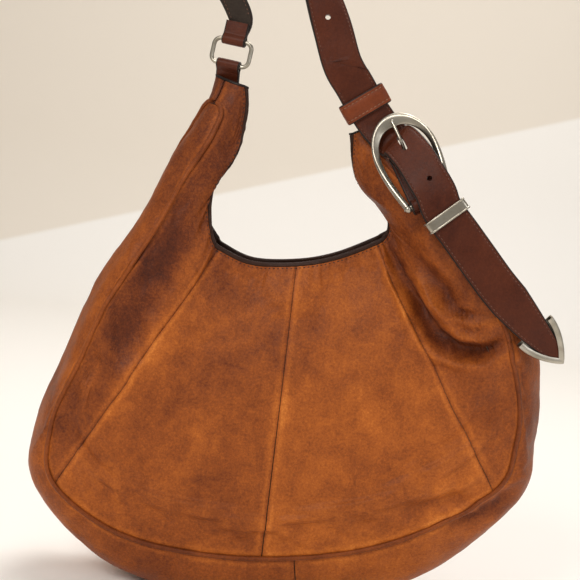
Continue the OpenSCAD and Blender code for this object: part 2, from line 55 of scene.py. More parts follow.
TARGET = Vector((0, 0, 0.263))
CAMERA_AT = Vector((0, -0.945, 0.362))
CAMERA_ROLL = radians(6.6)       # the bag leans to the right in the picture
FLOOR_HALF = 3.0
WALL_Y = 2.0
COVE_R = 0.4


def add_camera():
    data = bpy.data.cameras.new("camera")
    data.lens = 69.8
    data.sensor_width = 36
    data.clip_end = 30
    camera = bpy.data.objects.new("camera", data)
    bpy.context.collection.objects.link(camera)
    look = (TARGET - CAMERA_AT).to_track_quat("-Z", "Y").to_matrix().to_4x4()
    camera.matrix_world = Matrix.Translation(CAMERA_AT) @ look @ Matrix.Rotation(CAMERA_ROLL, 4, "Z")
    bpy.context.scene.camera = camera
    bpy.context.scene.view_settings.view_transform = "Standard"


def add_light(name, at, size, watts, colour=(1, 1, 1)):
    data = bpy.data.lights.new(name, "AREA")
    data.shape = "DISK"
    data.size = size
    data.energy = watts
    data.color = colour
    light = bpy.data.objects.new(name, data)
    bpy.context.collection.objects.link(light)
    at = Vector(at)
    look = (TARGET - at).to_track_quat("-Z", "Y").to_matrix().to_4x4()
    light.matrix_world = Matrix.Translation(at) @ look


def add_world():
    world = bpy.data.worlds.new("studio")
    world.use_nodes = True
    background = world.node_tree.nodes["Background"]
    background.inputs["Color"].default_value = (1.0, 0.96, 0.9, 1)
    background.inputs["Strength"].default_value = 0.36
    bpy.context.scene.world = world


# ---- Small geometry helpers ----

def unit(v):
    return v / np.maximum(np.linalg.norm(v, axis=-1, keepdims=True), 1e-9)


def vec(*numbers):
    return np.array(numbers, float)


LATTICE = np.random.default_rng(11).uniform(-1, 1, (24, 24, 24))


def noise(p, size):
    """Smooth seeded noise from -1 to 1, with features about size across."""
    q = p / size
    cell = np.floor(q).astype(int)
    f = q - cell
    f = f * f * (3 - 2 * f)
    total = 0
    for corner in itertools.product((0, 1), repeat=3):
        weight = np.prod(np.where(corner, f, 1 - f), axis=-1)
        at = (cell + corner) % 24
        total = total + weight * LATTICE[at[..., 0], at[..., 1], at[..., 2]]
    return total


def curve(points, t):
    """Catmull-Rom curve through rows of numbers, at an array of parameters."""
    rows = np.asarray(points, float)
    last = len(rows) - 1
    t = np.asarray(t, float)
    i = np.clip(np.floor(t).astype(int), 0, last - 1)
    f = (t - i)[..., None]
    a, b, c, d = (rows[np.clip(i + k, 0, last)] for k in (-1, 0, 1, 2))
    square = (2 * a - 5 * b + 4 * c - d) * f ** 2
    cube = (3 * b - a - 3 * c + d) * f ** 3
    return 0.5 * (2 * b + (c - a) * f + square + cube)


def even(path, step):
    """A path resampled to points about step apart."""
    lengths = np.linalg.norm(np.diff(path, axis=0), axis=1)
    along = np.concatenate([[0], np.cumsum(lengths)])
    want = np.linspace(0, along[-1], max(2, int(round(along[-1] / step)) + 1))
    return np.stack([np.interp(want, along, path[:, k]) for k in range(path.shape[1])], -1)


def tangents(path):
    return unit(np.gradient(path, axis=0))


def grid(n, m, wrap=False):
    """Quads of n rows of m points; wrap joins each row's ends."""
    i, j = np.meshgrid(np.arange(n - 1), np.arange(m if wrap else m - 1), indexing="ij")
    a = i * m + j
    b = i * m + (j + 1) % m
    return np.stack([a, b, b + m, a + m], -1).reshape(-1, 4).tolist()


def slab(outer, inner):
    """A closed sheet between two grids of points."""
    n, m = outer.shape[:2]
    q = n * m
    border = np.concatenate([
        np.arange(m), np.arange(1, n) * m + m - 1, (n - 1) * m + np.arange(m - 2, -1, -1),
        np.arange(n - 2, 0, -1) * m])
    step = np.roll(border, -1)
    rim = np.stack([border, step, step + q, border + q], -1)
    top = grid(n, m)
    under = [[a + q for a in reversed(face)] for face in top]
    return np.concatenate([outer.reshape(-1, 3), inner.reshape(-1, 3)]), top + under + rim.tolist()


def tube(rings):
    """A closed bar through rings of points."""
    n, k = rings.shape[:2]
    ends = [list(range(k - 1, -1, -1)), list(range((n - 1) * k, n * k))]
    return rings.reshape(-1, 3), grid(n, k, True) + ends


def ring_tube(rings):
    """A closed loop of rings of points, with no ends."""
    n, k = rings.shape[:2]
    faces = grid(n + 1, k, True)
    return rings.reshape(-1, 3), [[a % (n * k) for a in face] for face in faces]


def sweep(path, across, section):
    """Rings of a section (across, up) carried along a path; across is a direction at each point."""
    t = tangents(path)
    w = unit(across - t * np.sum(across * t, axis=1, keepdims=True))
    up = np.cross(t, w)
    section = np.asarray(section, float)
    if section.ndim == 2:
        section = np.broadcast_to(section, (len(path),) + section.shape)
    return path[:, None] + w[:, None] * section[..., :1] + up[:, None] * section[..., 1:]


def circle(r, sides=16):
    return [(r * cos(2 * pi * k / sides), r * sin(2 * pi * k / sides)) for k in range(sides)]


def placed(points, at, dx, dy, dz):
    """Points of a local frame, put in the object's frame."""
    return np.asarray(at) + np.asarray(points, float) @ np.stack([dx, dy, dz])


def add(name, parts, materials, body="bag", replaces=True, sharp=40):
    """One mesh from parts (points, faces, material index), on a body, in place of the node of its name."""
    points, faces, index = [], [], []
    count = 0
    for part_points, part_faces, material in parts:
        points.append(np.asarray(part_points, float).reshape(-1, 3) * MM)
        faces += [[a + count for a in face] for face in part_faces]
        index += [material] * len(part_faces) if isinstance(material, int) else list(material)
        count += len(points[-1])
    mesh = bpy.data.meshes.new(name)
    mesh.from_pydata(np.concatenate(points), [], faces)
    for material in materials:
        mesh.materials.append(material)
    mesh.polygons.foreach_set("material_index", index)
    shape = bmesh.new()
    shape.from_mesh(mesh)
    if body is None:
        bmesh.ops.dissolve_degenerate(shape, dist=1e-6, edges=shape.edges)
    bmesh.ops.recalc_face_normals(shape, faces=shape.faces)
    shape.to_mesh(mesh)
    shape.free()
    mesh.shade_smooth()
    mesh.set_sharp_from_angle(angle=radians(sharp))
    piece = bpy.data.objects.new(name, mesh)
    bpy.context.collection.objects.link(piece)
    if body:
        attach(piece, body)
    if replaces:
        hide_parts(name)
    return piece


STITCH_RING = np.array(circle(1, 6))


def stitches(line, face, length=2.3, gap=1.1, r=0.42, sink=0.1):
    """A row of stitches along a line of points, lying on a surface that faces the given directions."""
    line = np.asarray(line, float)
    lengths = np.linalg.norm(np.diff(line, axis=0), axis=1)
    along = np.concatenate([[0], np.cumsum(lengths)])
    starts = np.arange(gap, along[-1] - length, length + gap)
    points, faces = [], []
    for number, start in enumerate(starts):
        places = start + length * np.array([0, 0.2, 0.5, 0.8, 1])
        middle = np.stack([np.interp(places, along, line[:, k]) for k in range(3)], -1)
        n = unit(np.stack([np.interp(places, along, face[:, k]) for k in range(3)], -1))
        t = unit(middle[-1] - middle[0])
        w = np.cross(t, n)
        lift = r * np.array([-1.2, 0.1, 0.35, 0.1, -1.2]) - sink
        size = r * np.array([0.5, 0.9, 1, 0.9, 0.5])
        ring = size[:, None, None] * STITCH_RING
        rings = middle[:, None] + n[:, None] * (lift[:, None, None] + ring[..., :1])
        rings = rings + w[:, None] * ring[..., 1:]
        stitch_points, stitch_faces = tube(rings)
        points.append(stitch_points)
        faces += [[a + number * len(stitch_points) for a in f] for f in stitch_faces]
    return np.concatenate(points), faces


# ---- Materials ----

def nodes_for(name):
    material = bpy.data.materials.new(name)
    material.use_nodes = True
    tree = material.node_tree
    return material, tree, tree.nodes["Principled BSDF"]


def node(tree, kind, **values):
    made = tree.nodes.new(kind)
    for key, value in values.items():
        if key in made.inputs:
            made.inputs[key].default_value = value
        else:
            setattr(made, key, value)
    return made


def join(tree, out, into):
    tree.links.new(out, into)


def settle(shader, **values):
    """Sets a shader's inputs; an underscore stands for a space in a name."""
    for key, value in values.items():
        shader.inputs[key.replace("_", " ")].default_value = value


def coordinates(tree, scale=(1, 1, 1), turn=(0, 0, 0)):
    place = node(tree, "ShaderNodeTexCoord")
    mapping = node(tree, "ShaderNodeMapping", Scale=scale, Rotation=turn)
    join(tree, place.outputs["Object"], mapping.inputs["Vector"])
    return mapping.outputs["Vector"]


def texture(tree, where, scale, detail=3.0, rough=0.55, bend=0.0):
    made = node(tree, "ShaderNodeTexNoise", Scale=scale, Detail=detail, Roughness=rough, Distortion=bend)
    join(tree, where, made.inputs["Vector"])
    return made.outputs["Fac"]


def maths(tree, operation, a, b):
    made = node(tree, "ShaderNodeMath", operation=operation)
    for socket, value in zip(made.inputs, (a, b)):
        if isinstance(value, (int, float)):
            socket.default_value = value
        else:
            join(tree, value, socket)
    return made.outputs[0]


def plus(tree, a, b):
    return maths(tree, "ADD", a, b)


def times(tree, a, b):
    return maths(tree, "MULTIPLY", a, b)


def ramp(tree, value, stops):
    made = node(tree, "ShaderNodeValToRGB")
    elements = made.color_ramp.elements
    while len(elements) < len(stops):
        elements.new(0.5)
    for element, (at, colour) in zip(elements, stops):
        element.position = at
        element.color = (*colour, 1) if len(colour) == 3 else (colour[0],) * 3 + (1,)
    join(tree, value, made.inputs["Fac"])
    return made.outputs["Color"]


def bump(tree, height, distance, strength, under=None):
    made = node(tree, "ShaderNodeBump", Strength=strength, Distance=distance)
    join(tree, height, made.inputs["Height"])
    if under is not None:
        join(tree, under, made.inputs["Normal"])
    return made.outputs["Normal"]


def between(tree, value, low, high):
    """A noise's middle range, stretched to run from low to high."""
    made = node(tree, "ShaderNodeMapRange")
    settle(made, From_Min=0.3, From_Max=0.7, To_Min=low, To_Max=high)
    join(tree, value, made.inputs["Value"])
    return made.outputs["Result"]


def leather(name, tones, pebble=0.9, patches=1.0, rough=(0.42, 0.62), grain=0.35, streaks=0.2, tone_and_painted_shade=0.0):
    """Leather with a pebbled grain of that size in mm, cloudy patches, and streaks where it was pulled."""
    material, tree, shader = nodes_for(name)
    where = coordinates(tree)
    cloud = texture(tree, where, 13, 4, 0.55, 0.6)
    patch = texture(tree, where, 58, 7, 0.7, 0.5)
    fine = texture(tree, where, 520, 5, 0.8)
    drawn = texture(tree, coordinates(tree, (46, 30, 15), (0.1, 0.5, 0.2)), 1.0, 6, 0.7, 1.2)
    cloudy = times(tree, cloud, 0.62 * patches)
    patchy = times(tree, patch, 0.42 * patches)
    tone = plus(tree, cloudy, patchy)
    tone = plus(tree, tone, times(tree, maths(tree, "SUBTRACT", drawn, 0.5), streaks))
    tone = plus(tree, tone, times(tree, maths(tree, "SUBTRACT", fine, 0.5), 0.55))
    tone = plus(tree, tone, 0.5 - 0.52 * patches)
    # Adds the shell's per-point attribute: the panel's own tone, with painted shade in crease valleys and at
    # the seams and painted light on crease ridges.
    if tone_and_painted_shade:
        shaded_tone = node(tree, "ShaderNodeAttribute", attribute_name="tone_and_painted_shade")
        tone = plus(tree, tone, times(tree, shaded_tone.outputs["Fac"], tone_and_painted_shade))
    places = np.linspace(0.18, 0.82, len(tones))
    join(tree, ramp(tree, tone, list(zip(places, tones))), shader.inputs["Base Color"])
    join(tree, between(tree, patch, *rough), shader.inputs["Roughness"])
    cells = node(tree, "ShaderNodeTexVoronoi", Scale=1000 / pebble, feature="SMOOTH_F1")
    join(tree, where, cells.inputs["Vector"])
    normal = bump(tree, patch, 0.0022, 0.25)
    normal = bump(tree, texture(tree, where, 210, 5, 0.65, 0.8), 0.0009, 0.35, normal)
    normal = bump(tree, cells.outputs["Distance"], 0.0004, grain, normal)
    join(tree, normal, shader.inputs["Normal"])
    settle(shader, Specular_IOR_Level=0.2, Sheen_Weight=0.02, Sheen_Roughness=0.5)
    return material


def metal(name, light, dark, rough):
    """Worn plating: bright where handled, dull and darker in cloudy patches, with hair scratches."""
    material, tree, shader = nodes_for(name)
    where = coordinates(tree)
    cloud = texture(tree, where, 60, 4, 0.5, 0.3)
    scratch = texture(tree, coordinates(tree, (2600, 160, 300), (0.4, 0.2, 0.9)), 1.0, 3, 0.6)
    join(tree, ramp(tree, cloud, [(0.3, dark), (0.72, light)]), shader.inputs["Base Color"])
    settle(shader, Metallic=1)
    join(tree, between(tree, cloud, rough + 0.1, rough - 0.05), shader.inputs["Roughness"])
    normal = bump(tree, scratch, 0.00005, 0.06)
    join(tree, bump(tree, cloud, 0.0008, 0.05, normal), shader.inputs["Normal"])
    return material


def thread(name, colour):
    material, tree, shader = nodes_for(name)
    where = coordinates(tree)
    join(tree, ramp(tree, texture(tree, where, 500, 2), [(0.3, [c * 0.6 for c in colour]), (0.7, colour)]),
         shader.inputs["Base Color"])
    twist = node(tree, "ShaderNodeTexWave", Scale=900, Distortion=2)
    join(tree, where, twist.inputs["Vector"])
    join(tree, bump(tree, twist.outputs["Fac"], 0.0002, 0.6), shader.inputs["Normal"])
    settle(shader, Roughness=0.7)
    return material


def cloth(name, light, dark, threads=1.1):
    """Plain woven cotton with threads of that spacing in mm."""
    material, tree, shader = nodes_for(name)
    where = coordinates(tree)
    warp = node(tree, "ShaderNodeTexWave", Scale=160 / threads, Distortion=0.6, bands_direction="X")
    weft = node(tree, "ShaderNodeTexWave", Scale=160 / threads, Distortion=0.6, bands_direction="Z")
    for wave in (warp, weft):
        join(tree, where, wave.inputs["Vector"])
    weave = times(tree, warp.outputs["Fac"], weft.outputs["Fac"])
    cloud = texture(tree, where, 30, 4)
    tone = plus(tree, times(tree, weave, 0.4), times(tree, cloud, 0.6))
    join(tree, ramp(tree, tone, [(0.2, dark), (0.7, light)]), shader.inputs["Base Color"])
    join(tree, bump(tree, weave, 0.0003, 0.5), shader.inputs["Normal"])
    settle(shader, Roughness=0.9, Sheen_Weight=0.25)
    return material


def painted_backdrop():
    """A white floor that turns up into a wall, beige above a slanting line."""
    material, tree, shader = nodes_for("backdrop_paint")
    place = node(tree, "ShaderNodeTexCoord")
    parts = node(tree, "ShaderNodeSeparateXYZ")
    join(tree, place.outputs["Object"], parts.inputs["Vector"])
    slant = maths(tree, "SUBTRACT", parts.outputs["Z"], times(tree, parts.outputs["X"], 0.332))
    speckle = texture(tree, place.outputs["Object"], 260, 3)
    height = plus(tree, slant, times(tree, speckle, 0.004))
    join(tree, ramp(tree, height, [(0.350, (0.93, 0.90, 0.86)), (0.360, (0.82, 0.75, 0.66))]),
         shader.inputs["Base Color"])
    join(tree, bump(tree, speckle, 0.0005, 0.1), shader.inputs["Normal"])
    settle(shader, Roughness=0.85)
    return material


# ---- The shell's loft, in mm, as in the CAD ----

# Ribs fan round the opening from the left horn's end, round the base, to the right horn's end. Each rib:
# inner edge x, z; piping x, z; half-depth at the edge and at the piping; gusset bulge; wall swell;
# twist of the horn in degrees; y of the middle plane.
RIBS = [
    [-66.5, 431, -69.5, 432, 19, 17, 7, 0, 50, -2],
    [-64, 409, -71, 411, 20, 19, 14, 1, 45, -2],
    [-67, 378, -82, 382, 21, 22, 18, 3, 38, -1],
    [-78, 350, -99, 350, 22, 26, 17, 5, 26, 0],
    [-76, 328, -117, 302, 23, 31, 17, 8, 14, 0],
    [-72, 312, -145, 246, 23, 37, 19, 12, 6, 0],
    [-69, 305, -165, 186, 22, 42, 21, 16, 2, 0],
    [-66, 300, -181, 134, 22, 45, 22, 19, 0, 0],
    [-61, 295, -174, 86, 21, 46, 26, 20, 0, 0],
    [-34, 286, -105, 48, 20, 46, 42, 21, 0, 0],
    [3, 289, 2, 44, 20, 46, 52, 22, 0, 0],
    [34, 298, 105, 69, 20, 46, 50, 21, 0, 0],
    [65, 314, 184, 122, 21, 46, 32, 20, 0, 0],
    [71, 319, 197, 165, 22, 45, 24, 19, 2, 0],
    [75, 324, 194, 207, 22, 42, 24, 16, 7, 1],
    [77, 331, 177, 258, 23, 38, 26, 12, 18, 5],
    [73, 341, 142, 306, 22, 34, 28, 8, 31, 9],
    [64, 354, 106, 348, 22, 29, 26, 5, 42, 9],
    [57, 371, 80, 375, 21, 24, 18, 3, 47, 4],
    [51, 388, 60, 391, 20, 19, 12, 1, 49, -1],
    [47, 403, 50, 404, 19, 17, 7, 0, 50, -4],
]
LAST = len(RIBS) - 1
SEAM_L, SEAM_C, SEAM_R = 8, 10, 12
GUSSET_SEAM = 10.25
TONGUE_L, TONGUE_R = 1.05, LAST - 1.05
TRIM_U = 0.16
RIB_GAP = 0.004                  # gap at a seam, in ribs
LEATHER_T = 2.2
PIPING_R = 1.9
BINDING_W = 3.4
SEAM_GAP = 0.3
FINE = 2.6                       # spacing of the shell's points along it
WALL_ROWS, GUSSET_ROWS, LINING_ROWS = 119, 41, 90
PIPING_SEAM = PIPING_R * 0.6     # how far from the piping's middle a panel ends
Y_AXIS = vec(0, 1, 0)


def skin(u, v):
    """The loft's outer surface. v: 0 front edge, 1 front corner, 2 outermost, 3 back corner, 4 back edge."""
    u, v = np.broadcast_arrays(np.asarray(u, float), np.asarray(v, float))
    ix, iz, px, pz, edge_half, half, bulge, swell, twist, mid_y = np.moveaxis(curve(RIBS, u), -1, 0)
    run = curve(RIBS, np.minimum(u + 0.05, LAST)) - curve(RIBS, np.maximum(u - 0.05, 0))
    zero = np.zeros_like(u)
    along = unit(np.stack([run[..., 2], zero, run[..., 3]], -1))
    out = np.stack([along[..., 2], zero, -along[..., 0]], -1)
    reach = np.stack([px - ix, zero, pz - iz], -1)
    length = np.linalg.norm(reach, axis=-1)
    n = reach / length[..., None]
    c = np.cos(np.radians(twist))[..., None]
    s = np.sin(np.radians(twist))[..., None]
    w = np.where(v <= 2, v, 4 - v)
    on_wall = np.minimum(w, 1)
    turn = np.radians(90 * (2 - np.maximum(w, 1)))
    wall_depth = edge_half + (half - edge_half) * on_wall + swell * np.sin(pi * on_wall)
    depth = np.where(w <= 1, wall_depth, half * np.sin(turn))
    side = np.where(v <= 2, -1, 1)
    beyond = np.where(w <= 1, 0, bulge * np.cos(turn))
    p = np.stack([ix, mid_y, iz], -1) + (n * c - Y_AXIS * s) * (length * on_wall)[..., None]
    p = p + (Y_AXIS * c + n * s) * (side * depth)[..., None] + (out * c - Y_AXIS * s) * beyond[..., None]
    p[..., 2] = np.maximum(p[..., 2], 0)
    return p


def outward(u, v):
    du, dv = 0.03, 0.01
    return -unit(np.cross(skin(u + du, v) - skin(u - du, v), skin(u, v + dv) - skin(u, v - dv)))


def tongue(x):
    c = np.clip(x, 0, 1)
    q = 1 - np.minimum(c / 0.12, 1)
    return 0.42 * np.sqrt(1 - q * q) + 0.58 * c ** 1.1


def gusset_half(u):
    return np.minimum(tongue((u - TONGUE_L) / 3.6), tongue((TONGUE_R - u) / 4.6))


def sizes(u):
    """Length of the arc from the corner to the outermost line, and of the straight wall, at a rib."""
    r = curve(RIBS, u)
    return 0.8 * (r[..., 5] + r[..., 6]), np.hypot(r[..., 2] - r[..., 0], r[..., 3] - r[..., 1])


def v_before(u, d):
    """v at a distance d from the piping, towards the front edge."""
    arc, reach = sizes(u)
    over = (1 - gusset_half(u)) * arc
    return np.where(over >= d, 2 - gusset_half(u) - d / arc, 1 - (d - over) / reach)


def v_after(u, d):
    return 2 - gusset_half(u) + d / sizes(u)[0]


def v_edge(u, d):
    """v at a distance d from the front edge."""
    arc, reach = sizes(u)
    return np.where(d <= reach, d / reach, 1 + (d - reach) / arc)


# Creases of the soft leather: x, z along each; depth (negative for a ridge); half-width; -1 front, 1 back.
CREASES = [
    ([(-86, 345), (-104, 300), (-121, 259), (-136, 222), (-150, 190)], 7, 15, -1),
    ([(-108, 256), (-124, 220), (-138, 188), (-146, 160)], 3.5, 11, -1),
    ([(-73, 318), (-80, 294), (-91, 256), (-108, 214)], -2.6, 8, -1),
    ([(-158, 205), (-163, 176), (-168, 150)], 2.2, 6, -1),
    ([(74, 322), (88, 297), (101, 275), (112, 258)], 6.5, 7, -1),
    ([(84, 330), (104, 303), (126, 280), (146, 266)], 4.6, 5.5, -1),
    ([(98, 285), (107, 268), (119, 251), (138, 240), (157, 240), (176, 250)], 9.5, 6.5, -1),
    ([(104, 296), (119, 272), (140, 259), (160, 257)], -3.5, 9, -1),
    ([(130, 262), (148, 256), (170, 258)], 3, 4, -1),
    ([(122, 273), (144, 268), (164, 270)], 2.4, 3.5, -1),
    ([(100, 240), (120, 225), (150, 218)], 1.4, 8, -1),
    ([(108, 97), (136, 107), (162, 113), (186, 121)], 2.6, 6, -1),
    ([(146, 88), (168, 98), (187, 110), (204, 128)], 5, 5, -1),
    ([(160, 84), (182, 96), (198, 112)], 2.4, 4, -1),
    ([(-196, 150), (-190, 175), (-178, 200)], 2, 6, -1),
    ([(-60, 60), (-20, 56), (30, 58)], 1.2, 9, -1),
    ([(-92, 320), (-112, 270), (-128, 225)], 5, 14, 1),
    ([(88, 312), (112, 276), (150, 250), (176, 246)], 5, 9, 1),
    ([(-60, 250), (-84, 205), (-120, 160)], 2.5, 16, 1),
    ([(60, 230), (100, 180), (140, 150)], 2.5, 14, 1),
    ([(-150, 80), (-110, 66), (-60, 64)], 2.2, 7, 1),
]


# Areas of small wrinkles: x, z; reach; depth; slope of the wrinkles in degrees; -1 front, 1 back.
WRINKLES = [
    (140, 258, 40, 1.5, 10, -1),
    (112, 300, 34, 1.1, -50, -1),
    (-118, 262, 60, 1.1, -62, -1),
    (176, 112, 34, 1.2, 28, -1),
    (-60, 200, 90, 0.5, -50, -1),
    (130, 262, 50, 1.2, 0, 1),
    (-110, 262, 60, 1.0, -60, 1),
    (0, 120, 120, 0.5, 20, 1),
]


def wrinkles(p, n):
    """Depth of the small wrinkles at points p."""
    depth = np.zeros(p.shape[:-1])
    for x, z, reach, most, slope, side in WRINKLES:
        dx = p[..., 0] - x
        dz = p[..., 2] - z
        run = dx * cos(radians(slope)) + dz * sin(radians(slope))
        rise = dz * cos(radians(slope)) - dx * sin(radians(slope))
        ridge = 1 - 3.2 * np.abs(noise(np.stack([run / 3.5, rise, p[..., 1] * 0.3], -1), 9))
        facing = np.clip(0.2 + side * n[..., 1] * 1.3, 0, 1)
        depth += most * np.exp(-(dx ** 2 + dz ** 2) / reach ** 2) * facing * np.clip(ridge, 0, 1)
    return depth


def along_line(p, line):
    """Distance of points (x, z) from a line, and the share of the line passed at the nearest place."""
    line = np.asarray(line, float)
    lengths = np.linalg.norm(np.diff(line, axis=0), axis=1)
    best = np.full(p.shape[:-1], np.inf)
    share = np.zeros(p.shape[:-1])
    passed = 0
    for a, b, length in zip(line, line[1:], lengths):
        t = np.clip((p - a) @ (b - a) / length ** 2, 0, 1)
        away = np.linalg.norm(p - a - t[..., None] * (b - a), axis=-1)
        share = np.where(away < best, (passed + t * length) / lengths.sum(), share)
        best = np.minimum(best, away)
        passed += length
    return best, share


def creases(p, n):
    """Height of the creases at points p whose surface faces n: below zero in a valley."""
    height = np.zeros(p.shape[:-1])
    for line, depth, width, side in CREASES:
        wobble = 1 + 0.3 * noise(p, 17)
        away, share = along_line(p[..., [0, 2]], line)
        q = away / (width * wobble)
        taper = np.sin(pi * np.clip(share, 0.02, 0.98)) ** 0.7
        facing = np.clip(0.35 + side * n[..., 1] * 1.3, 0, 1)
        height -= depth * taper * facing * (np.exp(-q * q) - 0.4 * np.exp(-(q - 2) ** 2))
    return height - wrinkles(p, n)


# ---- Relaxing the shell by cloth simulation ----

SNAP_X, SNAP_Z, SNAP_Y = 3, 268, 19.9

SIM_U = np.linspace(0, LAST, 170)
SIM_V = np.concatenate([np.linspace(0, 1, 34), np.linspace(1, 3, 26)[1:-1], np.linspace(3, 4, 34)])
SIM_FRAMES = 24
SIM_CAP = 4.5                    # most that a point may move
SIM_CREASED = 0.6                # share of the creases that the leather starts with
PIPING_HOLD = 0.1                # distance from the piping, in v, over which it holds the leather
SNAP_HOLD = 20                   # distance from the snap over which it holds the leather
GUSSET_STILL = 0.95              # share of the movement that the firm gusset doesn't make


def relaxed():
    """How far a simulation of slightly loose leather moves each point of a coarse loft, as a grid."""
    u, v = np.meshgrid(SIM_U, SIM_V, indexing="ij")
    start = skin(u, v)
    n = outward(u, v)
    creased = start + n * creases(start, n)[..., None] * SIM_CREASED
    mesh = bpy.data.meshes.new("relaxing")
    mesh.from_pydata(creased.reshape(-1, 3) * MM, [], grid(len(SIM_U), len(SIM_V)))
    sheet = bpy.data.objects.new("relaxing", mesh)
    bpy.context.collection.objects.link(sheet)
    half = gusset_half(u)
    piping = np.minimum(np.abs(v - 2 + half), np.abs(v - 2 - half))
    hold = 0.08 + 0.92 * np.exp(-(piping / PIPING_HOLD) ** 2)
    from_snap = np.hypot(start[..., 0] - SNAP_X, start[..., 2] - SNAP_Z)
    hold = np.maximum(hold, np.exp(-(from_snap / SNAP_HOLD) ** 2))
    hold = np.where((v < 0.02) | (v > 3.98) | (u < 0.6) | (u > LAST - 0.6) | (start[..., 2] < 1), 1, hold)
    group = sheet.vertex_groups.new(name="held")
    for index, weight in enumerate(hold.ravel()):
        group.add([index], float(weight), "REPLACE")
    cloth_modifier = sheet.modifiers.new("cloth", "CLOTH")
    settings = cloth_modifier.settings
    settings.quality = 6
    settings.mass = 0.35
    settings.tension_stiffness = 12
    settings.compression_stiffness = 8
    settings.shear_stiffness = 4
    settings.bending_stiffness = 0.8
    settings.vertex_group_mass = "held"
    settings.pin_stiffness = 0.6
    settings.shrink_min = -0.025
    settings.effector_weights.gravity = 1.0
    cloth_modifier.point_cache.frame_start = 1
    cloth_modifier.point_cache.frame_end = SIM_FRAMES
    scene = bpy.context.scene
    for frame_number in range(1, SIM_FRAMES + 1):
        scene.frame_set(frame_number)
    graph = bpy.context.evaluated_depsgraph_get()
    settled = sheet.evaluated_get(graph).to_mesh()
    end = np.array([p.co for p in settled.vertices]).reshape(start.shape) / MM
    bpy.data.objects.remove(sheet)
    scene.frame_set(1)
    move = (end - start) * (1 - GUSSET_STILL * np.exp(-((v - 2) / 0.95) ** 2))[..., None]
    size = np.linalg.norm(move, axis=-1, keepdims=True)
    return move * np.minimum(1, SIM_CAP / np.maximum(size, 1e-6))


def look_up(field, u, v):
    """A value between the points of a grid over SIM_U and SIM_V."""
    a = np.interp(u, SIM_U, np.arange(len(SIM_U)))
    b = np.interp(v, SIM_V, np.arange(len(SIM_V)))
    i = np.clip(a.astype(int), 0, len(SIM_U) - 2)
    j = np.clip(b.astype(int), 0, len(SIM_V) - 2)
    s = (a - i)[..., None]
    t = (b - j)[..., None]
    s = s * s * (3 - 2 * s)
    t = t * t * (3 - 2 * t)
    low = field[i, j] * (1 - t) + field[i, j + 1] * t
    high = field[i + 1, j] * (1 - t) + field[i + 1, j + 1] * t
    return low * (1 - s) + high * s


RELAX = relaxed()


CREASES_LEFT = 0.85              # share of the creases added to the simulation's own


def shell(u, v, depth=0.0):
    """The relaxed, creased leather at ribs u and places v, moved inward by depth."""
    p = skin(u, v)
    n = outward(u, v)
    u, v = np.broadcast_arrays(u, v)
    moved = p + look_up(RELAX, u, v)
    # Creases fade at the horns' ends, at the bound edges and at the base.
    free = np.clip(np.minimum(u, LAST - u) / 1.2, 0, 1) * np.clip(np.minimum(v, 4 - v) / 0.08, 0, 1)
    free = free * np.clip(p[..., 2] / 6, 0, 1)
    share = CREASES_LEFT if np.any(RELAX) else 1
    height = creases(p, n) * share + 0.5 * noise(p, 26) + 0.22 * noise(p, 7)
    p = moved + n * (height * free - depth)[..., None]
    p[..., 2] = np.maximum(p[..., 2], 0.05 if np.ndim(depth) == 0 and depth <= 0 else 0)
    return p


def spacing(u, v):
    return np.linalg.norm(skin(u + 0.02, v) - skin(u - 0.02, v), axis=-1) / 0.04


# Stores the per-point tone of a shell piece, painted shade included, as an attribute for the leather
# material.
def add_tone_and_painted_shade(piece, values):
    attribute = piece.data.attributes.new("tone_and_painted_shade", "FLOAT", "POINT")
    attribute.data.foreach_set("value", np.asarray(values, np.float32).ravel())


# ---- Pieces of the shell ----

def shell_piece(name, u, v, edge_gap, tone, material):
    """One cut of leather over a grid of u and v, rolled down at its sewn edges."""
    roll = 0.6 * np.exp(-(edge_gap / 1.0) ** 2)
    pucker = 0.4 * noise(skin(u, v), 4.2) * np.exp(-edge_gap / 5)
    points, faces = slab(shell(u, v, roll - pucker), shell(u, v, LEATHER_T))
    piece = add(name, [(points, faces, 0)], [material], sharp=60)
    p = skin(u, v)
    height = creases(p, outward(u, v))
    # Per-point tone: the panel's own tone; painted shade in crease valleys and painted light on crease
    # ridges; painted shade right at the seams, where the edge rolls down; a lighter band about 3 mm from each
    # seam; lighter towards the base and darker towards the top.
    shaded_tone = tone + 0.026 * np.clip(height, -6, 4) + 0.10 * np.exp(-((edge_gap - 3) / 2.2) ** 2)
    shaded_tone = shaded_tone - 0.05 * np.exp(-(edge_gap / 1.0) ** 2) + 0.05 * np.clip((170 - p[..., 2]) / 120, -1, 1)
    add_tone_and_painted_shade(piece, np.concatenate([shaded_tone.ravel(), shaded_tone.ravel()]))


def wall_panel(name, u0, u1, back, tone, material):
    """A panel of the front or back wall, between two ribs."""
    across = 0.5 * (spacing(np.linspace(u0, u1, 9), 1.2).mean() + spacing(np.linspace(u0, u1, 9), 0.4).mean())
    nu = int(across * (u1 - u0) / FINE)
    us = np.linspace(u0, u1, nu + 1)
    top = v_edge(us, BINDING_W + SEAM_GAP)
    sewn = (us > TONGUE_L) & (us < TONGUE_R)
    low = np.where(sewn, v_before(us, PIPING_SEAM), 2 - SEAM_GAP / 12)
    v = top[:, None] + (low - top)[:, None] * np.linspace(0, 1, WALL_ROWS)
    u = np.repeat(us[:, None], WALL_ROWS, axis=1)
    arc, reach = sizes(us)
    to_piping = (low[:, None] - v) * np.where(v > 1, arc[:, None], reach[:, None])
    seam_sides = [side for side, at in ((u - u0, u0), (u1 - u, u1)) if 1 < at < LAST - 1]
    gap = np.minimum.reduce([side * spacing(u, v) for side in seam_sides] + [to_piping])
    shell_piece(name, u, 4 - v if back else v, gap, tone, material)


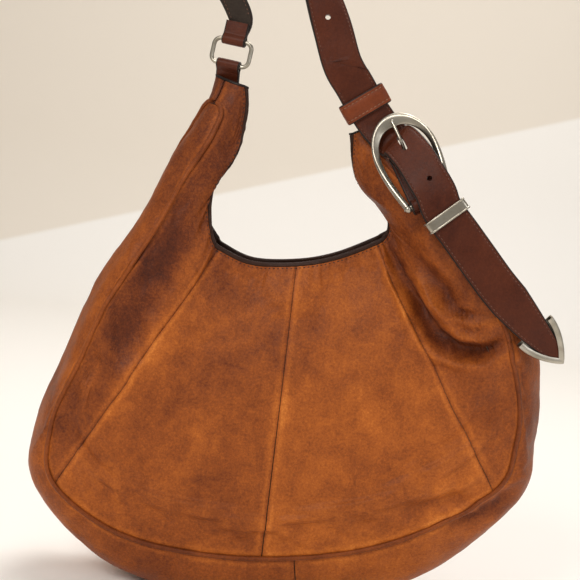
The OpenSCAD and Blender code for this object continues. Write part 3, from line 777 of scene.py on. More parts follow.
def gusset(name, u0, u1, tone, material):
    nu = int(1000 / FINE * (u1 - u0) / 18)
    us = np.linspace(u0, u1, nu + 1)
    start = v_after(us, PIPING_SEAM)
    v = start[:, None] + (4 - 2 * start)[:, None] * np.linspace(0, 1, GUSSET_ROWS)
    u = np.repeat(us[:, None], GUSSET_ROWS, axis=1)
    arc = sizes(us)[0]
    to_piping = np.minimum(v - start[:, None], 4 - start[:, None] - v) * arc[:, None]
    seam_side = np.abs(u - GUSSET_SEAM) * spacing(u, v)
    shell_piece(name, u, v, np.minimum(to_piping, seam_side), tone, material)


def piping(name, side, material):
    """A leather-covered cord sewn along the corner, with the small puckers of a hand-turned edge."""
    tips = 0.02 + 0.46 * np.linspace(0, 1, 26) ** 2
    body = np.linspace(TONGUE_L + 0.5, TONGUE_R - 0.5, 620)
    us = np.concatenate([TONGUE_L + tips, body, TONGUE_R - tips[::-1]])
    line = shell(us, 2 + side * gusset_half(us), -0.3)
    path = even(line, 1.7)
    outermost = skin(us, 2.0)
    share = np.linspace(0, 1, len(us))
    core = np.stack([np.interp(np.linspace(0, 1, len(path)), share, outermost[:, k]) for k in range(3)], -1)
    ripple = 1 + 0.06 * noise(path, 3.1) + 0.05 * noise(path, 9)
    section = PIPING_R * ripple[:, None, None] * np.array(circle(1, 12))
    rings = sweep(path, core - path + vec(0.01, 0.02, 0.01), section)
    add(name, [(*tube(rings), 0)], [material])


BINDING_SECTION = [(3.4, 0.2), (3.1, -0.2), (1.9, -0.35), (0.8, -0.25), (0.2, 0.15), (-0.1, 1.1), (0.2, 2.0),
                   (0.8, 2.4), (1.9, 2.5), (3.1, 2.4), (3.4, 2.0)]


def binding(name, back, leather_material, thread_material):
    """The turned dark strip over the edge of the opening, with its row of stitches."""
    us = np.linspace(TRIM_U + RIB_GAP, LAST - TRIM_U - RIB_GAP, 420)
    columns = []
    for d, depth in BINDING_SECTION:
        v = v_edge(us, d)
        columns.append(shell(us, 4 - v if back else v, depth))
    rings = np.stack(columns, axis=1)
    v = v_edge(us, 5.0)
    line = shell(us, 4 - v if back else v, 0.0)
    face = outward(us, 4 - v if back else v)
    row = stitches(line, face, 2.1, 1.5, 0.4)
    add(name, [(*tube(rings), 0), (*row, 1)], [leather_material, thread_material])


def horn_trim(name, u0, u1, material):
    vs = np.linspace(0, 4, 120)
    middle = (u0 + u1) / 2
    half = (u1 - u0) / 2
    columns = [shell(middle + half * a, vs, depth) for a, depth in
               ((-1, 0.4), (-0.8, -0.3), (0, -0.55), (0.8, -0.3), (1, 0.4), (1, 1.8), (0.8, 2.5), (0, 2.75),
                (-0.8, 2.5), (-1, 1.8))]
    add(name, [(*tube(np.stack(columns, axis=1)), 0)], [material])


def lining(material):
    """The sewn cloth inside, just clear of the leather."""
    us = np.linspace(1.2, LAST - 0.4, 260)
    edge = v_edge(us, BINDING_W + 2)
    v = edge[:, None] + (4 - 2 * edge)[:, None] * np.linspace(0, 1, LINING_ROWS)
    u = np.repeat(us[:, None], LINING_ROWS, axis=1)
    ruck = 0.5 * noise(skin(u, v), 13)
    depth = LEATHER_T + 1.5 + ruck
    sheet = slab(shell(u, v, depth), shell(u, v, depth + 0.8))
    add("lining", [(*sheet, 0)], [material])


# ---- Strap, in mm. Its route is the CAD's, except for the arch's last three points, at the ring ----

SWING = vec(21, -27, 452)
RING_TOP = vec(-69, -6, 463)
RING_AXIS = unit(SWING - RING_TOP)
RING_UP = unit(vec(-RING_AXIS[2] / RING_AXIS[0], 0, 1))
RING_FACE = np.cross(RING_AXIS, RING_UP)
RING_H = 20
RING_LOW = RING_TOP - RING_UP * RING_H
RING_WIRE = 1.8
TAB_W = 20.0
STRAP_W = 32
STRAP_T = 4.2
LEAN = vec(-0.39, 0, 0.92)
SWING_UP = unit(LEAN - RING_AXIS * (LEAN @ RING_AXIS))

ARCH = [
    [33, -25.5, 436], [21, -27, 452], [10, -24, 479], [-2, -20, 507], [-16, -16, 538], [-34, -12, 568],
    [-56, -8, 588], [-80, -7, 590], [-98, -7, 576], [-101, -8, 555], [-93, -9, 532], [-81, -8, 508],
    list(RING_TOP - RING_FACE * 2 + RING_UP * 20), list(RING_TOP - RING_FACE * 2 + RING_UP * 9),
]
ARCH_FACE = [
    [0, -1, 0], [0, -1, 0], [0.1, -1, 0.1], [0.45, -1, 0.4], [0.9, -0.8, 0.9], [0.6, -0.2, 1],
    [0.15, 0, 1], [-0.4, 0.05, 1], [-1, 0.15, 0.4], [-1, 0.4, 0], [-0.75, 0.8, 0.2], [-0.35, 1, 0.1],
    list(-RING_FACE), list(-RING_FACE),
]
ARCH_WIDE = 11
TAIL = [
    [10, -24, 479], [21, -27, 452], [33, -25.5, 436], [45, -24, 420], [58, -25.8, 405.3],
    [68.7, -31.3, 396.1], [74, -43.8, 394.9], [84.4, -56.3, 384.4], [94, -66, 371.5],
    [103.3, -71, 358.6], [110, -72.5, 346],
    [125.5, -74.2, 329], [141, -75.9, 312], [156.5, -77.6, 295], [172, -78.5, 280], [188, -77, 265],
    [203, -73.5, 252], [218, -70, 239],
]
HEEL = vec(99, -64, 352)
B_TOE = unit(vec(-0.453, 0.412, 0.791))
B_RIGHT = unit(vec(B_TOE[2], 0, -B_TOE[0]))
B_FACE = np.cross(B_RIGHT, B_TOE)


def buckle_frame_of(points):
    return placed(points, HEEL, B_RIGHT, B_TOE, B_FACE)


# Half of a strap's section from the edge to the middle: mm inward, and height as a share of the
# half-thickness. The dip is the stitch line.
STRAP_HALF = [
    (0, 0), (0.05, 0.5), (0.45, 0.85), (1.1, 0.98), (2.0, 0.97), (2.6, 0.86), (3.2, 0.97), (5, 1.0),
    (9, 1.03),
]
FACE, EDGE, UNDER = 0, 1, 2


def strap_section(width, thick):
    """A strap's closed section, from the right edge over the top to the left edge and back under."""
    a = width / 2
    top = [(a - min(x, 0.9 * a), y * thick / 2) for x, y in STRAP_HALF]
    top += [(-x, y) for x, y in reversed(top)]
    return top + [(x, -y) for x, y in reversed(top[1:-1])]


def strap_kinds():
    """The material of each strip along a strap."""
    count = 4 * len(STRAP_HALF) - 2
    middle = 2 * len(STRAP_HALF) - 1
    kinds = [FACE if j < middle else UNDER for j in range(count)]
    for j in range(-3, 3):
        kinds[j] = EDGE
        kinds[middle + j] = EDGE
    return kinds


def strap(path, face, width, thick):
    """A leather strap along a path: its part, with each face's material, and its side and face directions."""
    t = tangents(path)
    w = unit(np.cross(face, t))
    f = np.cross(t, w)
    sections = np.array([strap_section(a, thick) for a in width])
    rings = path[:, None] + w[:, None] * sections[..., :1] + f[:, None] * sections[..., 1:]
    points, faces = tube(rings)
    return (points, faces, strap_kinds() * (len(path) - 1) + [EDGE, EDGE]), w, f


def edge_rows(path, w, f, width, inset, thick, colour):
    """Rows of stitches near both edges, on both sides of a strap."""
    rows = []
    for side, up in itertools.product((-1, 1), (-1, 1)):
        line = path + w * (side * (width / 2 - inset))[:, None] + f * up * thick * 0.44
        rows.append((*stitches(line, f * up, 2.0, 1.4, 0.36), colour))
    return rows


def past_flex(rows, sign):
    """The rows of a path on one side of the strap's flex, and a little beyond it."""
    return rows[(rows[:, :3] - SWING) @ SWING_UP * sign > -15]


def cut_at_flex(points, sign):
    """Points beyond the flex, moved onto its plane along the strap."""
    height = (points - SWING) @ SWING_UP * sign
    along = unit(vec(23, -1.5, -43))
    back = np.minimum(height, 0) / (along @ SWING_UP) * sign
    return points - along * back[..., None]


def punch(piece, cutters):
    """Cuts closed shapes out of a piece."""
    for cutter in cutters:
        modifier = piece.modifiers.new("punch", "BOOLEAN")
        modifier.object = cutter
        modifier.operation = "DIFFERENCE"
        modifier.solver = "EXACT"
    graph = bpy.context.evaluated_depsgraph_get()
    mesh = bpy.data.meshes.new_from_object(piece.evaluated_get(graph))
    piece.modifiers.clear()
    piece.data = mesh
    for cutter in cutters:
        bpy.data.objects.remove(cutter)


def cutter(outline, frame_of, low, high):
    """A prism of an outline between two heights of its own frame; frame_of puts it in the object's."""
    rings = np.stack([np.array([(x, y, z) for x, y in outline]) for z in (low, high)])
    points, faces = tube(frame_of(rings.reshape(-1, 3)).reshape(rings.shape))
    mesh = bpy.data.meshes.new("cutter")
    mesh.from_pydata(points * MM, [], faces)
    shape = bmesh.new()
    shape.from_mesh(mesh)
    bmesh.ops.recalc_face_normals(shape, faces=shape.faces)
    shape.to_mesh(mesh)
    shape.free()
    made = bpy.data.objects.new("cutter", mesh)
    bpy.context.collection.objects.link(made)
    return made


def slot_outline(cx, cy, length, r):
    return [(cx + r * cos(a), cy + (length / 2 - r) * (1 if sin(a) >= 0 else -1) + r * sin(a))
            for a in np.linspace(0, 2 * pi, 24, endpoint=False)]


STITCH_INSET = 2.6
HOLE_R = 2.2


def strap_arch(leathers, sewing):
    t = np.linspace(0, len(ARCH) - 1, 700)
    width = STRAP_W - (STRAP_W - TAB_W) * np.clip((t - ARCH_WIDE + 1.6) / 2, 0, 1)
    rows = np.concatenate([curve(ARCH, t), -curve(ARCH_FACE, t), width[:, None]], axis=1)
    rows = past_flex(even(rows, 1.8), 1)
    path, face, width = rows[:, :3], rows[:, 3:6], rows[:, 6]
    (points, faces, kinds), w, f = strap(path, -face, width, STRAP_T)
    part = (cut_at_flex(points, 1), faces, kinds)
    arch = add("strap_arch", [part], leathers, body=None)
    spot = SWING - vec(16, 0, -36)
    up_strap = unit(vec(-13, 3, 30))
    side = unit(np.cross(up_strap, vec(0, -1, 0)))

    def frame_of(points):
        return placed(points, spot, side, up_strap, np.cross(side, up_strap))

    punch(arch, [cutter(circle(HOLE_R, 24), frame_of, -14, 14)])
    part = slice(18, -6)
    rows = edge_rows(path[part], w[part], f[part], width[part], STITCH_INSET, STRAP_T, 0)
    sewn = add("strap_arch_stitches", rows, [sewing], body=None, replaces=False)
    loop = wrapped_loop("strap_arch_loop", RING_TOP, RING_UP, 2.0, 15, 1.05, leathers, None, False)
    for piece in (arch, sewn, loop):
        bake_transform(piece)


def wrapped_loop(name, at, away, thick, tail, half, leathers, body, replaces):
    """A strip folded round the ring's wire at a place, whose two layers leave in the direction away."""
    r = RING_WIRE + 0.5 + thick / 2
    turn = [(r * cos(a), r * sin(a)) for a in np.linspace(radians(62), radians(298), 30)]
    start = [(tail * k / 8 + r * 0.9 * (1 - k / 8), half) for k in range(8, 0, -1)]
    path = np.array(start + turn + [(x, -y) for x, y in reversed(start)])
    side = np.cross(RING_AXIS, away)
    line = at + path[:, :1] * away + path[:, 1:] * side
    line = even(line, 0.9)
    t = tangents(line)
    face = np.cross(t, np.broadcast_to(RING_AXIS, t.shape))
    part = strap(line, face, np.full(len(line), TAB_W), thick)[0]
    return add(name, [part], leathers, body, replaces)


def strap_tail(leathers, sewing):
    # The end is narrower than the CAD's, because the metal tip round it is more pointed.
    t = np.linspace(0, len(TAIL) - 1, 900)
    width = np.minimum(STRAP_W, 2 + 16.9 * np.sqrt(np.maximum(0, len(TAIL) - 1 - t)))
    flat = np.clip(np.minimum(t - 3.1, 9.8 - t), 0, 1)[:, None]
    rows = np.concatenate([curve(TAIL, t), width[:, None], -Y_AXIS + (B_FACE + Y_AXIS) * flat], axis=1)
    rows = past_flex(even(rows, 1.8), -1)
    path, width, face = rows[:, :3], rows[:, 3], rows[:, 4:]
    (points, faces, kinds), w, f = strap(path, face, width, STRAP_T)
    part = (cut_at_flex(points, -1), faces, kinds)
    tail = add("strap_tail", [part], leathers, body=None)
    punch(tail, [
        cutter(slot_outline(0, 52, 17, 2.3), buckle_frame_of, -15, 15),
        cutter(circle(HOLE_R, 24) + vec(7, 12), buckle_frame_of, 2, 30),
    ])
    part = slice(18, -14)
    rows = edge_rows(path[part], w[part], f[part], width[part], STITCH_INSET, STRAP_T, 0)
    sewn = add("strap_tail_stitches", rows, [sewing], body=None, replaces=False)
    for piece in (tail, sewn):
        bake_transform(piece)


def band(width, depth, round_r, at, down):
    """The outline of a rounded band round a strap, its normals, and its frame as a function."""
    face = unit(-Y_AXIS + down * (Y_AXIS @ down))
    side = np.cross(face, down)
    outline = []
    for cx, cz, start in ((1, 1, 0), (-1, 1, 90), (-1, -1, 180), (1, -1, 270)):
        for k in range(9):
            a = radians(start + 90 * k / 8)
            x = cx * (width / 2 - round_r) + round_r * cos(a)
            outline.append((x, cz * (depth / 2 - round_r) + round_r * sin(a)))
    outline = np.array(outline)
    outline = even(np.concatenate([outline, outline[:1]]), 1.2)[:-1]
    normal = unit(np.gradient(outline, axis=0)[:, ::-1] * vec(1, -1))
    normal *= np.sign(np.sum(normal * outline, axis=1, keepdims=True))
    return outline, normal, lambda p: placed(p, at, side, down, face)


def band_rings(outline, normal, section):
    """Rings of a section (outward, along the strap) carried round a band's outline."""
    section = np.asarray(section, float)
    flat = outline[:, None] + normal[:, None] * section[None, :, :1]
    along = np.broadcast_to(section[None, :, 1:], flat.shape[:2] + (1,))
    return np.concatenate([flat[..., :1], along, flat[..., 1:]], axis=-1)


KEEPER_AT = vec(43, -24.2, 422.7)
KEEPER_DOWN = unit(vec(24, 3, -32))


def leather_keeper(leathers, sewing):
    h = 8.5
    section = [(0, -h + 0.9), (0.1, -h + 2.4), (-0.25, -h + 3.0), (0.1, -h + 3.6), (0.25, 0), (0.1, h - 3.6),
               (-0.25, h - 3.0), (0.1, h - 2.4), (0, h - 0.9), (-0.5, h - 0.15), (-1.2, h), (-1.9, h - 0.3),
               (-2.3, h - 0.9), (-2.3, 0), (-2.3, -h + 0.9), (-1.9, -h + 0.3), (-1.2, -h), (-0.5, -h + 0.15)]
    kinds = [FACE] * 8 + [EDGE] * 4 + [UNDER] * 2 + [EDGE] * 4
    outline, normal, frame_of = band(STRAP_W + 8, 11.4, 4.6, KEEPER_AT, KEEPER_DOWN)
    rings = band_rings(outline, normal, section)
    points, faces = ring_tube(rings)
    parts = [(frame_of(points), faces, kinds * len(outline))]
    closed = np.concatenate([outline, outline[:1]])
    closed_normal = np.concatenate([normal, normal[:1]])
    for y in (-h + 3.0, h - 3.0):
        line = np.stack([closed[:, 0], np.full(len(closed), y), closed[:, 1]], -1)
        face = np.stack([closed_normal[:, 0], np.zeros(len(closed)), closed_normal[:, 1]], -1)
        some_points, some_faces = stitches(line, face, 2.2, 1.4, 0.4, 0.05)
        parts.append((frame_of(some_points), some_faces, 3))
    add("leather_keeper", parts, leathers + [sewing], "keeper")


METAL_KEEPER_AT = vec(114, -72.9, 341.6)
METAL_KEEPER_DOWN = unit(vec(46.5, -5.1, -51))


def metal_keeper(nickel):
    section = [
        (-0.6, -3.1), (-0.5, 0), (-0.6, 3.1), (-0.2, 3.4), (0, 3.8), (-0.1, 4.4), (-0.6, 4.75), (-1.6, 4.6),
        (-1.9, 4), (-1.9, 0), (-1.9, -4), (-1.6, -4.6), (-0.6, -4.75), (-0.1, -4.4), (0, -3.8), (-0.2, -3.4)]
    outline, normal, frame_of = band(STRAP_W + 5.6, 9.4, 3.5, METAL_KEEPER_AT, METAL_KEEPER_DOWN)
    points, faces = ring_tube(band_rings(outline, normal, section))
    add("metal_keeper", [(frame_of(points), faces, 0)], [nickel], "end_keeper", sharp=50)


TIP_END = vec(218, -70, 239)
TIP_DOWN = unit(vec(15, 3.5, -13))
TIP_FACE = unit(-Y_AXIS + TIP_DOWN * (Y_AXIS @ TIP_DOWN))
TIP_L = 34
TIP_RIM = 4.9                    # width of the rim, seen from its front
TIP_HALF_T = 3.6


def strap_tip(nickel):
    """A metal cap, more pointed than the CAD's: a bevelled rim round a window, on a plain back plate."""
    def frame_of(p):
        return placed(p, TIP_END, np.cross(TIP_FACE, TIP_DOWN), TIP_DOWN, TIP_FACE)

    share = 1 - (1 - np.linspace(0, 1, 40)) ** 1.6
    right = np.stack([(STRAP_W + 3.4) / 2 * (1 - share ** 1.7) ** 0.85, (TIP_L + 2) * share], -1)
    line = even(np.concatenate([right, (right * vec(-1, 1))[-2::-1]]), 0.9) - vec(0, TIP_L)
    t = tangents(line)
    inward = np.stack([-t[:, 1], t[:, 0]], -1)
    section = np.array([
        (0, -2.6), (0, 1.9), (0.35, 2.9), (1.2, 3.5), (2.2, 3.6), (4.1, 3.15), (TIP_RIM, 2.85),
        (TIP_RIM, 2.5), (1.2, 2.5), (1.2, -2.5), (0.9, -3.6), (0.3, -3.3)])
    flat = line[:, None] + inward[:, None] * section[None, :, :1]
    most = np.abs(line[:, None, 0]) + 0.01
    flat[..., 0] = np.where(most < TIP_RIM + 0.01, np.clip(flat[..., 0], -most, most), flat[..., 0])
    z = np.broadcast_to(section[None, :, 1:], flat.shape[:2] + (1,))
    rim = np.concatenate([flat, z], axis=-1)
    points, faces = tube(rim)
    n = len(line)
    rows = np.linspace(-1, 1, 9)
    plate_top = np.array([[(abs(line[i, 0]) * r, line[i, 1], -2.7) for r in rows] for i in range(n // 2 + 1)])
    plate_low = plate_top.copy()
    plate_low[..., 2] = -TIP_HALF_T - 0.1 * np.cos(rows * pi / 2)
    plate = slab(plate_top, plate_low)
    parts = [(frame_of(points), faces, 0), (frame_of(plate[0]), plate[1], 0)]
    add("strap_tip", parts, [nickel], sharp=35)


# ---- Ring, tab and buckle ----

def strap_ring(nickel):
    a = 36 / 2 - RING_WIRE
    r = 5.5
    line = []
    for cx, cy, start in ((1, 1, 0), (-1, 1, 90), (-1, -1, 180), (1, -1, 270)):
        for k in range(13):
            turn = radians(start + 90 * k / 12)
            x = cx * (a - r) + r * cos(turn)
            y = RING_H / 2 + cy * (RING_H / 2 - r) + r * sin(turn)
            line.append((x, y, 0))
    line = even(np.array(line + line[:1]), 0.8)[:-1]
    t = unit(np.roll(line, -1, axis=0) - np.roll(line, 1, axis=0))
    side = np.cross(t, vec(0, 0, 1))
    section = np.array(circle(RING_WIRE, 20))
    rings = line[:, None] + side[:, None] * section[None, :, :1] + vec(0, 0, 1) * section[None, :, 1:]
    points, faces = ring_tube(rings)
    points = placed(points, RING_LOW, RING_AXIS, RING_UP, RING_FACE)
    add("strap_ring", [(points, faces, 0)], [nickel], "ring")


TAB_LEAN = vec(0, 0.47, -1)
TAB_DOWN = unit(TAB_LEAN - RING_AXIS * (TAB_LEAN @ RING_AXIS))


def ring_tab(leathers):
    wrapped_loop("ring_tab", RING_LOW, TAB_DOWN, 1.9, 22, 0.95, leathers, "bag", True)


HEEL_HALF = 17
SHOULDER_X, SHOULDER_Y = 23.5, 43
TOE_Y = 78
RIM_T = 2.7
BAR_R = 2.4


def rim_half(y):
    """The rim is round at the heel and a wide flat bevel at the toe."""
    return RIM_T + 3 * np.clip(y / TOE_Y, 0, 1) ** 7


def buckle(nickel):
    t = np.linspace(0, 1, 30, endpoint=False)
    side = np.stack([HEEL_HALF + (SHOULDER_X - HEEL_HALF) * np.sin(pi / 2 * t), SHOULDER_Y * t], -1)
    a = np.linspace(0, pi / 2, 44)
    toe = np.stack([SHOULDER_X * np.cos(a), SHOULDER_Y + (TOE_Y - SHOULDER_Y) * np.sin(a)], -1)
    right = np.concatenate([side, toe])
    line = even(np.concatenate([right, (right * vec(-1, 1))[-2::-1]]), 1.0)
    t = tangents(line)
    out = np.stack([t[:, 1], -t[:, 0]], -1)
    half = rim_half(line[:, 1])
    middle = line - out * (half - RIM_T)[:, None]
    bevel = [
        (1, 0), (0.99, 0.35), (0.93, 0.62), (0.82, 0.82), (0.68, 0.95), (0.5, 1), (0.3, 0.98), (0.1, 0.86),
        (-0.15, 0.68), (-0.4, 0.5), (-0.65, 0.32), (-0.85, 0.16), (-0.97, 0), (-1, -0.2), (-0.97, -0.45),
        (-0.85, -0.7), (-0.65, -0.88), (-0.4, -0.97), (-0.1, -1), (0.2, -1), (0.5, -0.97), (0.75, -0.85),
        (0.92, -0.6), (0.99, -0.3)]
    share = np.clip(line[:, 1] / 55, 0, 1)[:, None, None] ** 1.5
    section = np.array(circle(1, 24)) * (1 - share) + np.array(bevel) * share
    flat = middle[:, None] + out[:, None] * (section[..., :1] * half[:, None, None])
    rings = np.concatenate([flat, section[..., 1:] * RIM_T], axis=-1)
    points, faces = tube(rings)
    bar_line = np.stack([np.linspace(-HEEL_HALF, HEEL_HALF, 30), np.zeros(30), np.zeros(30)], -1)
    bar = tube(sweep(bar_line, np.tile(vec(0, 0, 1), (30, 1)), circle(BAR_R, 20)))
    parts = [(buckle_frame_of(points), faces, 0), (buckle_frame_of(bar[0]), bar[1], 0)]
    for x in (-HEEL_HALF, HEEL_HALF):
        knob = [(vec(x + 3.3 * cos(b), -0.4, 0), 3.3 * sin(b)) for b in np.linspace(0.02, pi - 0.02, 14)]
        rings = np.array([[centre + vec(0, y, z) for y, z in circle(r, 20)] for centre, r in knob])
        knob_points, knob_faces = tube(rings)
        parts.append((buckle_frame_of(knob_points), knob_faces, 0))
    add("buckle_frame", parts, [nickel], "buckle", sharp=60)


# The prong's middle line from its eye to its end: along the buckle, and in front of it.
PRONG = [
    (3.4, -0.6), (8, -1.8), (14, -2.7), (28, -2.8), (42, -2.7), (48, 0.4), (54, 3.6), (60, 4.4), (74, 4.5),
]
EYE_R = 2.75
EYE_SECTION = [(0, -2.1), (0.3, -2.5), (1.3, -2.5), (1.7, -2), (1.7, 2), (1.3, 2.5), (0.3, 2.5), (0, 2.1)]


def prong(nickel):
    line = even(curve(PRONG, np.linspace(0, len(PRONG) - 1, 200)), 0.8)
    t = tangents(line)
    up = np.stack([-t[:, 1], t[:, 0]], -1)
    left = np.linalg.norm(line - line[-1], axis=1)
    r = 1.3 * np.sqrt(np.clip(1 - (1 - np.clip(left / 1.6, 0.02, 1)) ** 2, 0.01, 1))
    rings = [np.column_stack([r * x, line + (r * y)[:, None] * up]) for x, y in circle(1, 16)]
    points, faces = tube(np.stack(rings, axis=1))
    eye = ring_tube(np.array([[(x, (EYE_R + d) * a, (EYE_R + d) * b) for d, x in EYE_SECTION]
                              for a, b in circle(1, 32)]))
    parts = [(buckle_frame_of(points), faces, 0), (buckle_frame_of(eye[0]), eye[1], 0)]
    add("buckle_prong", parts, [nickel], "prong", sharp=50)


CHAPE_W = 28
CHAPE_T = 2.1
CHAPE_LOW = -7.8                 # middle of the chape where it lies on the horn


def chape(leathers, sewing):
    """The leather that holds the buckle: it lies on the horn, comes forward and wraps the heel bar."""
    r = BAR_R + 0.5 + CHAPE_T / 2

    def frame_of(x, line):
        return buckle_frame_of(np.column_stack([np.full(len(line), x), line]))

    flat = [(48, CHAPE_LOW), (30, CHAPE_LOW), (10, CHAPE_LOW), (2, CHAPE_LOW), (-2, CHAPE_LOW + 0.3)]
    turn = [(-r * cos(a), r * sin(a)) for a in np.linspace(radians(-50), radians(215), 24)]
    up = np.array([(-2, CHAPE_LOW + 0.3), (-4.2, CHAPE_LOW + 2.2), (-4.6, -3.0)] + turn)
    strips = [(0, CHAPE_W, even(curve(flat, np.linspace(0, 4, 120)), 1.5))]
    wrap = even(curve(up, np.linspace(0, len(up) - 1, 200)), 0.7)
    strips += [(side * 8.65, 10.7, wrap) for side in (-1, 1)]
    parts = []
    for x, width, line in strips:
        path = frame_of(x, line)
        t = tangents(path)
        face = np.cross(t, np.broadcast_to(B_RIGHT, t.shape))
        part, w, f = strap(path, face, np.full(len(path), float(width)), CHAPE_T)
        parts.append(part)
        if x == 0:
            for side, up_side in itertools.product((-1, 1), (1, -1)):
                row = path[3:-2] + w[3:-2] * side * 11 + f[3:-2] * up_side * 0.95
                parts.append((*stitches(row, f[3:-2] * up_side, 2.0, 1.4, 0.36), 3))
    add("buckle_chape", parts, leathers + [sewing])


# ---- Inside: snap and zip pocket ----

ZIP_Z, ZIP_Y, ZIP_L = 196, 40.4, 150
ZIP_X = -ZIP_L / 2 + 3
ZIP_MID = 2.4                    # middle of the teeth above ZIP_Z
SLIDER_X = -ZIP_L / 2 + 14


def turned(profile, at, direction):
    """A turned part: radius and height pairs about an axis along y."""
    rings = [[(r * x, h * direction, r * z) for r, h in profile] for x, z in circle(1, 48)]
    points, faces = ring_tube(np.array(rings))
    return points + at, faces


def snaps(nickel):
    socket = [(0.1, 1.2), (2.8, 1.2), (3, 1.3), (3.3, 2.4), (3.7, 2.6), (7, 2.3), (7.7, 1.6), (8, 0.8),
              (7.8, 0), (0.1, 0)]
    stud = [(0.1, 4), (1.7, 4), (2.3, 3.6), (2.4, 2.9), (2.1, 2.4), (3.2, 2.1), (7, 1.9), (7.7, 1.4),
            (8, 0.7), (7.8, 0), (0.1, 0)]
    for name, profile, side in (("snap_socket", socket, -1), ("snap_stud", stud, 1)):
        part = (*turned(profile, vec(SNAP_X, side * SNAP_Y, SNAP_Z), -side), 0)
        add(name, [part], [nickel])


def soft_plate(x0, x1, y, z0, z1, thick, ruck):
    x, z = np.meshgrid(np.linspace(x0, x1, 70), np.linspace(z0, z1, 40), indexing="ij")
    p = np.stack([x, np.full_like(x, y), z], -1)
    edge = np.clip(np.minimum.reduce([x - x0, x1 - x, z - z0, z1 - z]) / 8, 0, 1)
    p[..., 1] += ruck * edge * noise(p, 14)
    q = p.copy()
    q[..., 1] += thick
    return slab(p, q)


def zip_pocket(cotton, tape_cloth, zip_metal):
    patch = soft_plate(ZIP_X, ZIP_X + ZIP_L, ZIP_Y + 0.4, ZIP_Z - 108, ZIP_Z - 8, 0.9, 0.3)
    add("pocket_patch", [(*patch, 0)], [cotton])
    low = soft_plate(ZIP_X, ZIP_X + ZIP_L, ZIP_Y, ZIP_Z - 6.5, ZIP_Z + 0.8, 0.9, 0.1)
    high = soft_plate(ZIP_X, ZIP_X + ZIP_L, ZIP_Y, ZIP_Z + 4.2, ZIP_Z + 11.4, 0.9, 0.1)
    add("zip_tape", [(*low, 0), (*high, 0)], [tape_cloth])
    teeth = []
    for number, x in enumerate(np.arange(ZIP_X + 5, ZIP_X + ZIP_L - 8, 1.5)):
        row = number % 2
        z = ZIP_Z + 1.6 + 1.6 * row
        outline = [(-0.45, -0.9), (0.45, -0.9), (0.5, 0.3), (0.2, 0.9), (-0.2, 0.9), (-0.5, 0.3)]
        up = 1 if row == 0 else -1
        rings = np.array([[(x + a, ZIP_Y + h, z + b * up) for a, b in outline] for h in (-0.3, 1.1)])
        teeth.append((*tube(rings), 0))
    add("zip_teeth", teeth, [zip_metal], sharp=30)
    shield = [(4.5, 0), (4.2, 3.0), (3.4, 4.0), (0, 4.2), (-3.4, 4.0), (-4.2, 3.0), (-4.5, 0), (-3.6, -3.2),
              (0, -4), (3.6, -3.2)]
    layers = [(0.85, 0.0), (0.97, 0.15), (1, 0.5), (1, 1.7), (0.97, 2.05), (0.85, 2.2)]
    rings = [[(SLIDER_X + x * k, ZIP_Y - 3 + y, ZIP_Z + ZIP_MID + z * k) for x, z in shield]
             for k, y in layers]
    add("zip_slider", [(*tube(np.array(rings)), 0)], [zip_metal], "slider", sharp=50)
    pull = slot_outline(0, -12.5, 27, 2.2)
    hole = slot_outline(0, -22, 5, 1.2)
    rings = [[(SLIDER_X + x, ZIP_Y - 4.6 + y, ZIP_Z + ZIP_MID + z) for x, z in shape]
             for shape, y in ((pull, -0.4), (pull, 0.4), (hole, 0.6), (hole, -0.6))]
    points, faces = ring_tube(np.array(rings))
    add("zip_pull", [(points, faces, 0)], [zip_metal], "pull", sharp=50)


def backdrop():
    """A floor that turns up into a wall behind, in one sweep."""
    turn = [(WALL_Y - COVE_R + COVE_R * sin(a), COVE_R - COVE_R * cos(a)) for a in np.linspace(0, pi / 2, 12)]
    profile = [(-FLOOR_HALF, 0)] + turn + [(WALL_Y, 3.2)]
    points = [(x, y, z) for x in (-FLOOR_HALF - 1, FLOOR_HALF + 1) for y, z in profile]
    mesh = bpy.data.meshes.new("backdrop")
    mesh.from_pydata(points, [], grid(2, len(profile)))
    mesh.materials.append(painted_backdrop())
    mesh.shade_smooth()
    sweep_object = bpy.data.objects.new("backdrop", mesh)
    bpy.context.collection.objects.link(sweep_object)


# ---- The scene ----

COGNAC_TONES = [
    (0.050, 0.0085, 0.0018), (0.125, 0.025, 0.0040), (0.26, 0.061, 0.008), (0.43, 0.112, 0.014),
    (0.64, 0.205, 0.032),
]
PIPING_TONES = [(0.055, 0.010, 0.002), (0.13, 0.027, 0.004), (0.25, 0.058, 0.008), (0.40, 0.105, 0.016)]
STRAP_TONES = [(0.024, 0.004, 0.001), (0.05, 0.0085, 0.0018), (0.085, 0.0165, 0.0038), (0.14, 0.033, 0.009)]
KEEPER_TONES = [(0.055, 0.010, 0.003), (0.12, 0.023, 0.005), (0.19, 0.040, 0.010), (0.28, 0.070, 0.020)]
EDGE_TONES = [(0.006, 0.004, 0.003), (0.014, 0.008, 0.006), (0.03, 0.016, 0.011)]
BINDING_TONES = [(0.012, 0.0045, 0.0025), (0.028, 0.010, 0.005), (0.055, 0.020, 0.010)]
SUEDE_TONES = [(0.018, 0.012, 0.009), (0.034, 0.024, 0.018), (0.058, 0.042, 0.032)]

# Panels of a wall: name, first and last rib, and how much lighter the leather is.
PANELS = [
    ("outer_left", TRIM_U, SEAM_L, -0.09), ("left", SEAM_L, SEAM_C, -0.005),
    ("right", SEAM_C, SEAM_R, 0.05), ("outer_right", SEAM_R, LAST - TRIM_U, 0.02),
]


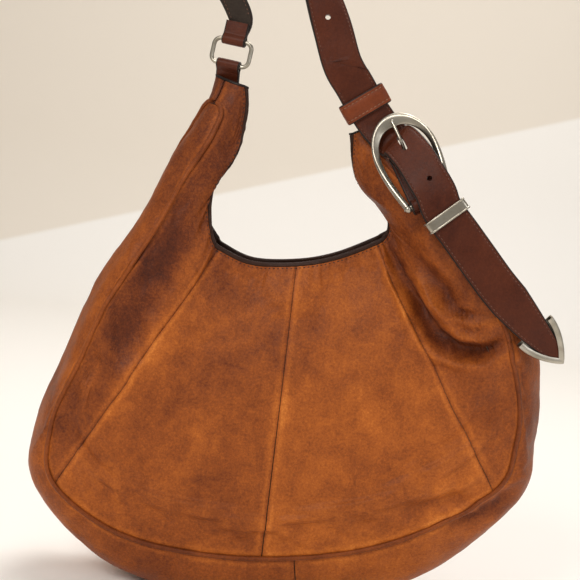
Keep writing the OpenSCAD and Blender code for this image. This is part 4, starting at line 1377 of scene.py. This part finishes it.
def build():
    cognac = leather("cognac_leather", COGNAC_TONES, 0.9, 0.8, (0.42, 0.62), 0.5, 0.16, tone_and_painted_shade=1.0)
    piping_leather = leather("piping_leather", PIPING_TONES, 0.8, 0.9, (0.4, 0.55), 0.3, 0.3)
    strap_leather = leather("strap_leather", STRAP_TONES, 0.7, 0.7, (0.38, 0.52), 0.18, 0.25)
    keeper_face = leather("keeper_leather", KEEPER_TONES, 0.7, 0.8, (0.36, 0.5), 0.2, 0.3)
    edge_paint = leather("edge_paint", EDGE_TONES, 1.2, 0.8, (0.35, 0.5), 0.1, 0.1)
    binding_leather = leather("binding_leather", BINDING_TONES, 0.8, 0.8, (0.42, 0.56), 0.2, 0.2)
    suede = leather("suede_backing", SUEDE_TONES, 0.5, 0.8, (0.8, 0.95), 0.4, 0.2)
    nickel = metal("antique_nickel", (0.50, 0.46, 0.39), (0.27, 0.24, 0.19), 0.3)
    zip_metal = metal("zip_brass", (0.50, 0.42, 0.28), (0.20, 0.16, 0.10), 0.32)
    dark_thread = thread("dark_thread", (0.03, 0.012, 0.008))
    tonal_thread = thread("tonal_thread", (0.16, 0.062, 0.035))
    light_thread = thread("light_thread", (0.36, 0.17, 0.09))
    cotton = cloth("lining_cotton", (0.16, 0.115, 0.08), (0.07, 0.048, 0.033))
    tape_cloth = cloth("zip_tape_cloth", (0.06, 0.04, 0.03), (0.025, 0.016, 0.012), 0.7)

    for side, back in (("front", False), ("back", True)):
        shift = -0.02 if back else 0.0
        for place, u0, u1, tone in PANELS:
            wall_panel(side + "_panel_" + place, u0 + RIB_GAP, u1 - RIB_GAP, back, tone + shift, cognac)
        piping("piping_" + side, 1 if back else -1, piping_leather)
        binding("binding_" + side, back, binding_leather, dark_thread)
    gusset("gusset_left", TONGUE_L + 0.12, GUSSET_SEAM - RIB_GAP, -0.05, cognac)
    gusset("gusset_right", GUSSET_SEAM + RIB_GAP, TONGUE_R - 0.12, -0.03, cognac)
    horn_trim("horn_trim_left", 0.0, TRIM_U - RIB_GAP, edge_paint)
    horn_trim("horn_trim_right", LAST - TRIM_U + RIB_GAP, LAST, edge_paint)
    lining(cotton)

    strap_leathers = [strap_leather, edge_paint, suede]
    strap_arch(strap_leathers, tonal_thread)
    strap_tail([strap_leather, edge_paint, suede], tonal_thread)
    leather_keeper([keeper_face, edge_paint, suede], light_thread)
    ring_tab([strap_leather, edge_paint, strap_leather])
    strap_ring(nickel)
    buckle(nickel)
    prong(nickel)
    chape([strap_leather, edge_paint, strap_leather], dark_thread)
    metal_keeper(nickel)
    strap_tip(nickel)
    snaps(nickel)
    zip_pocket(cotton, tape_cloth, zip_metal)


add_camera()
add_world()
add_light("key", (-0.9, -1.5, 1.5), 0.9, 21, (1, 0.97, 0.93))
add_light("fill", (1.3, -1.2, 0.9), 1.1, 8, (0.95, 0.97, 1))
add_light("top", (0.1, 0.2, 1.9), 1.2, 11, (1, 0.98, 0.95))
add_light("wall_wash", (0.5, 0.9, 2.4), 1.4, 24, (1, 0.98, 0.95))
backdrop()
build()
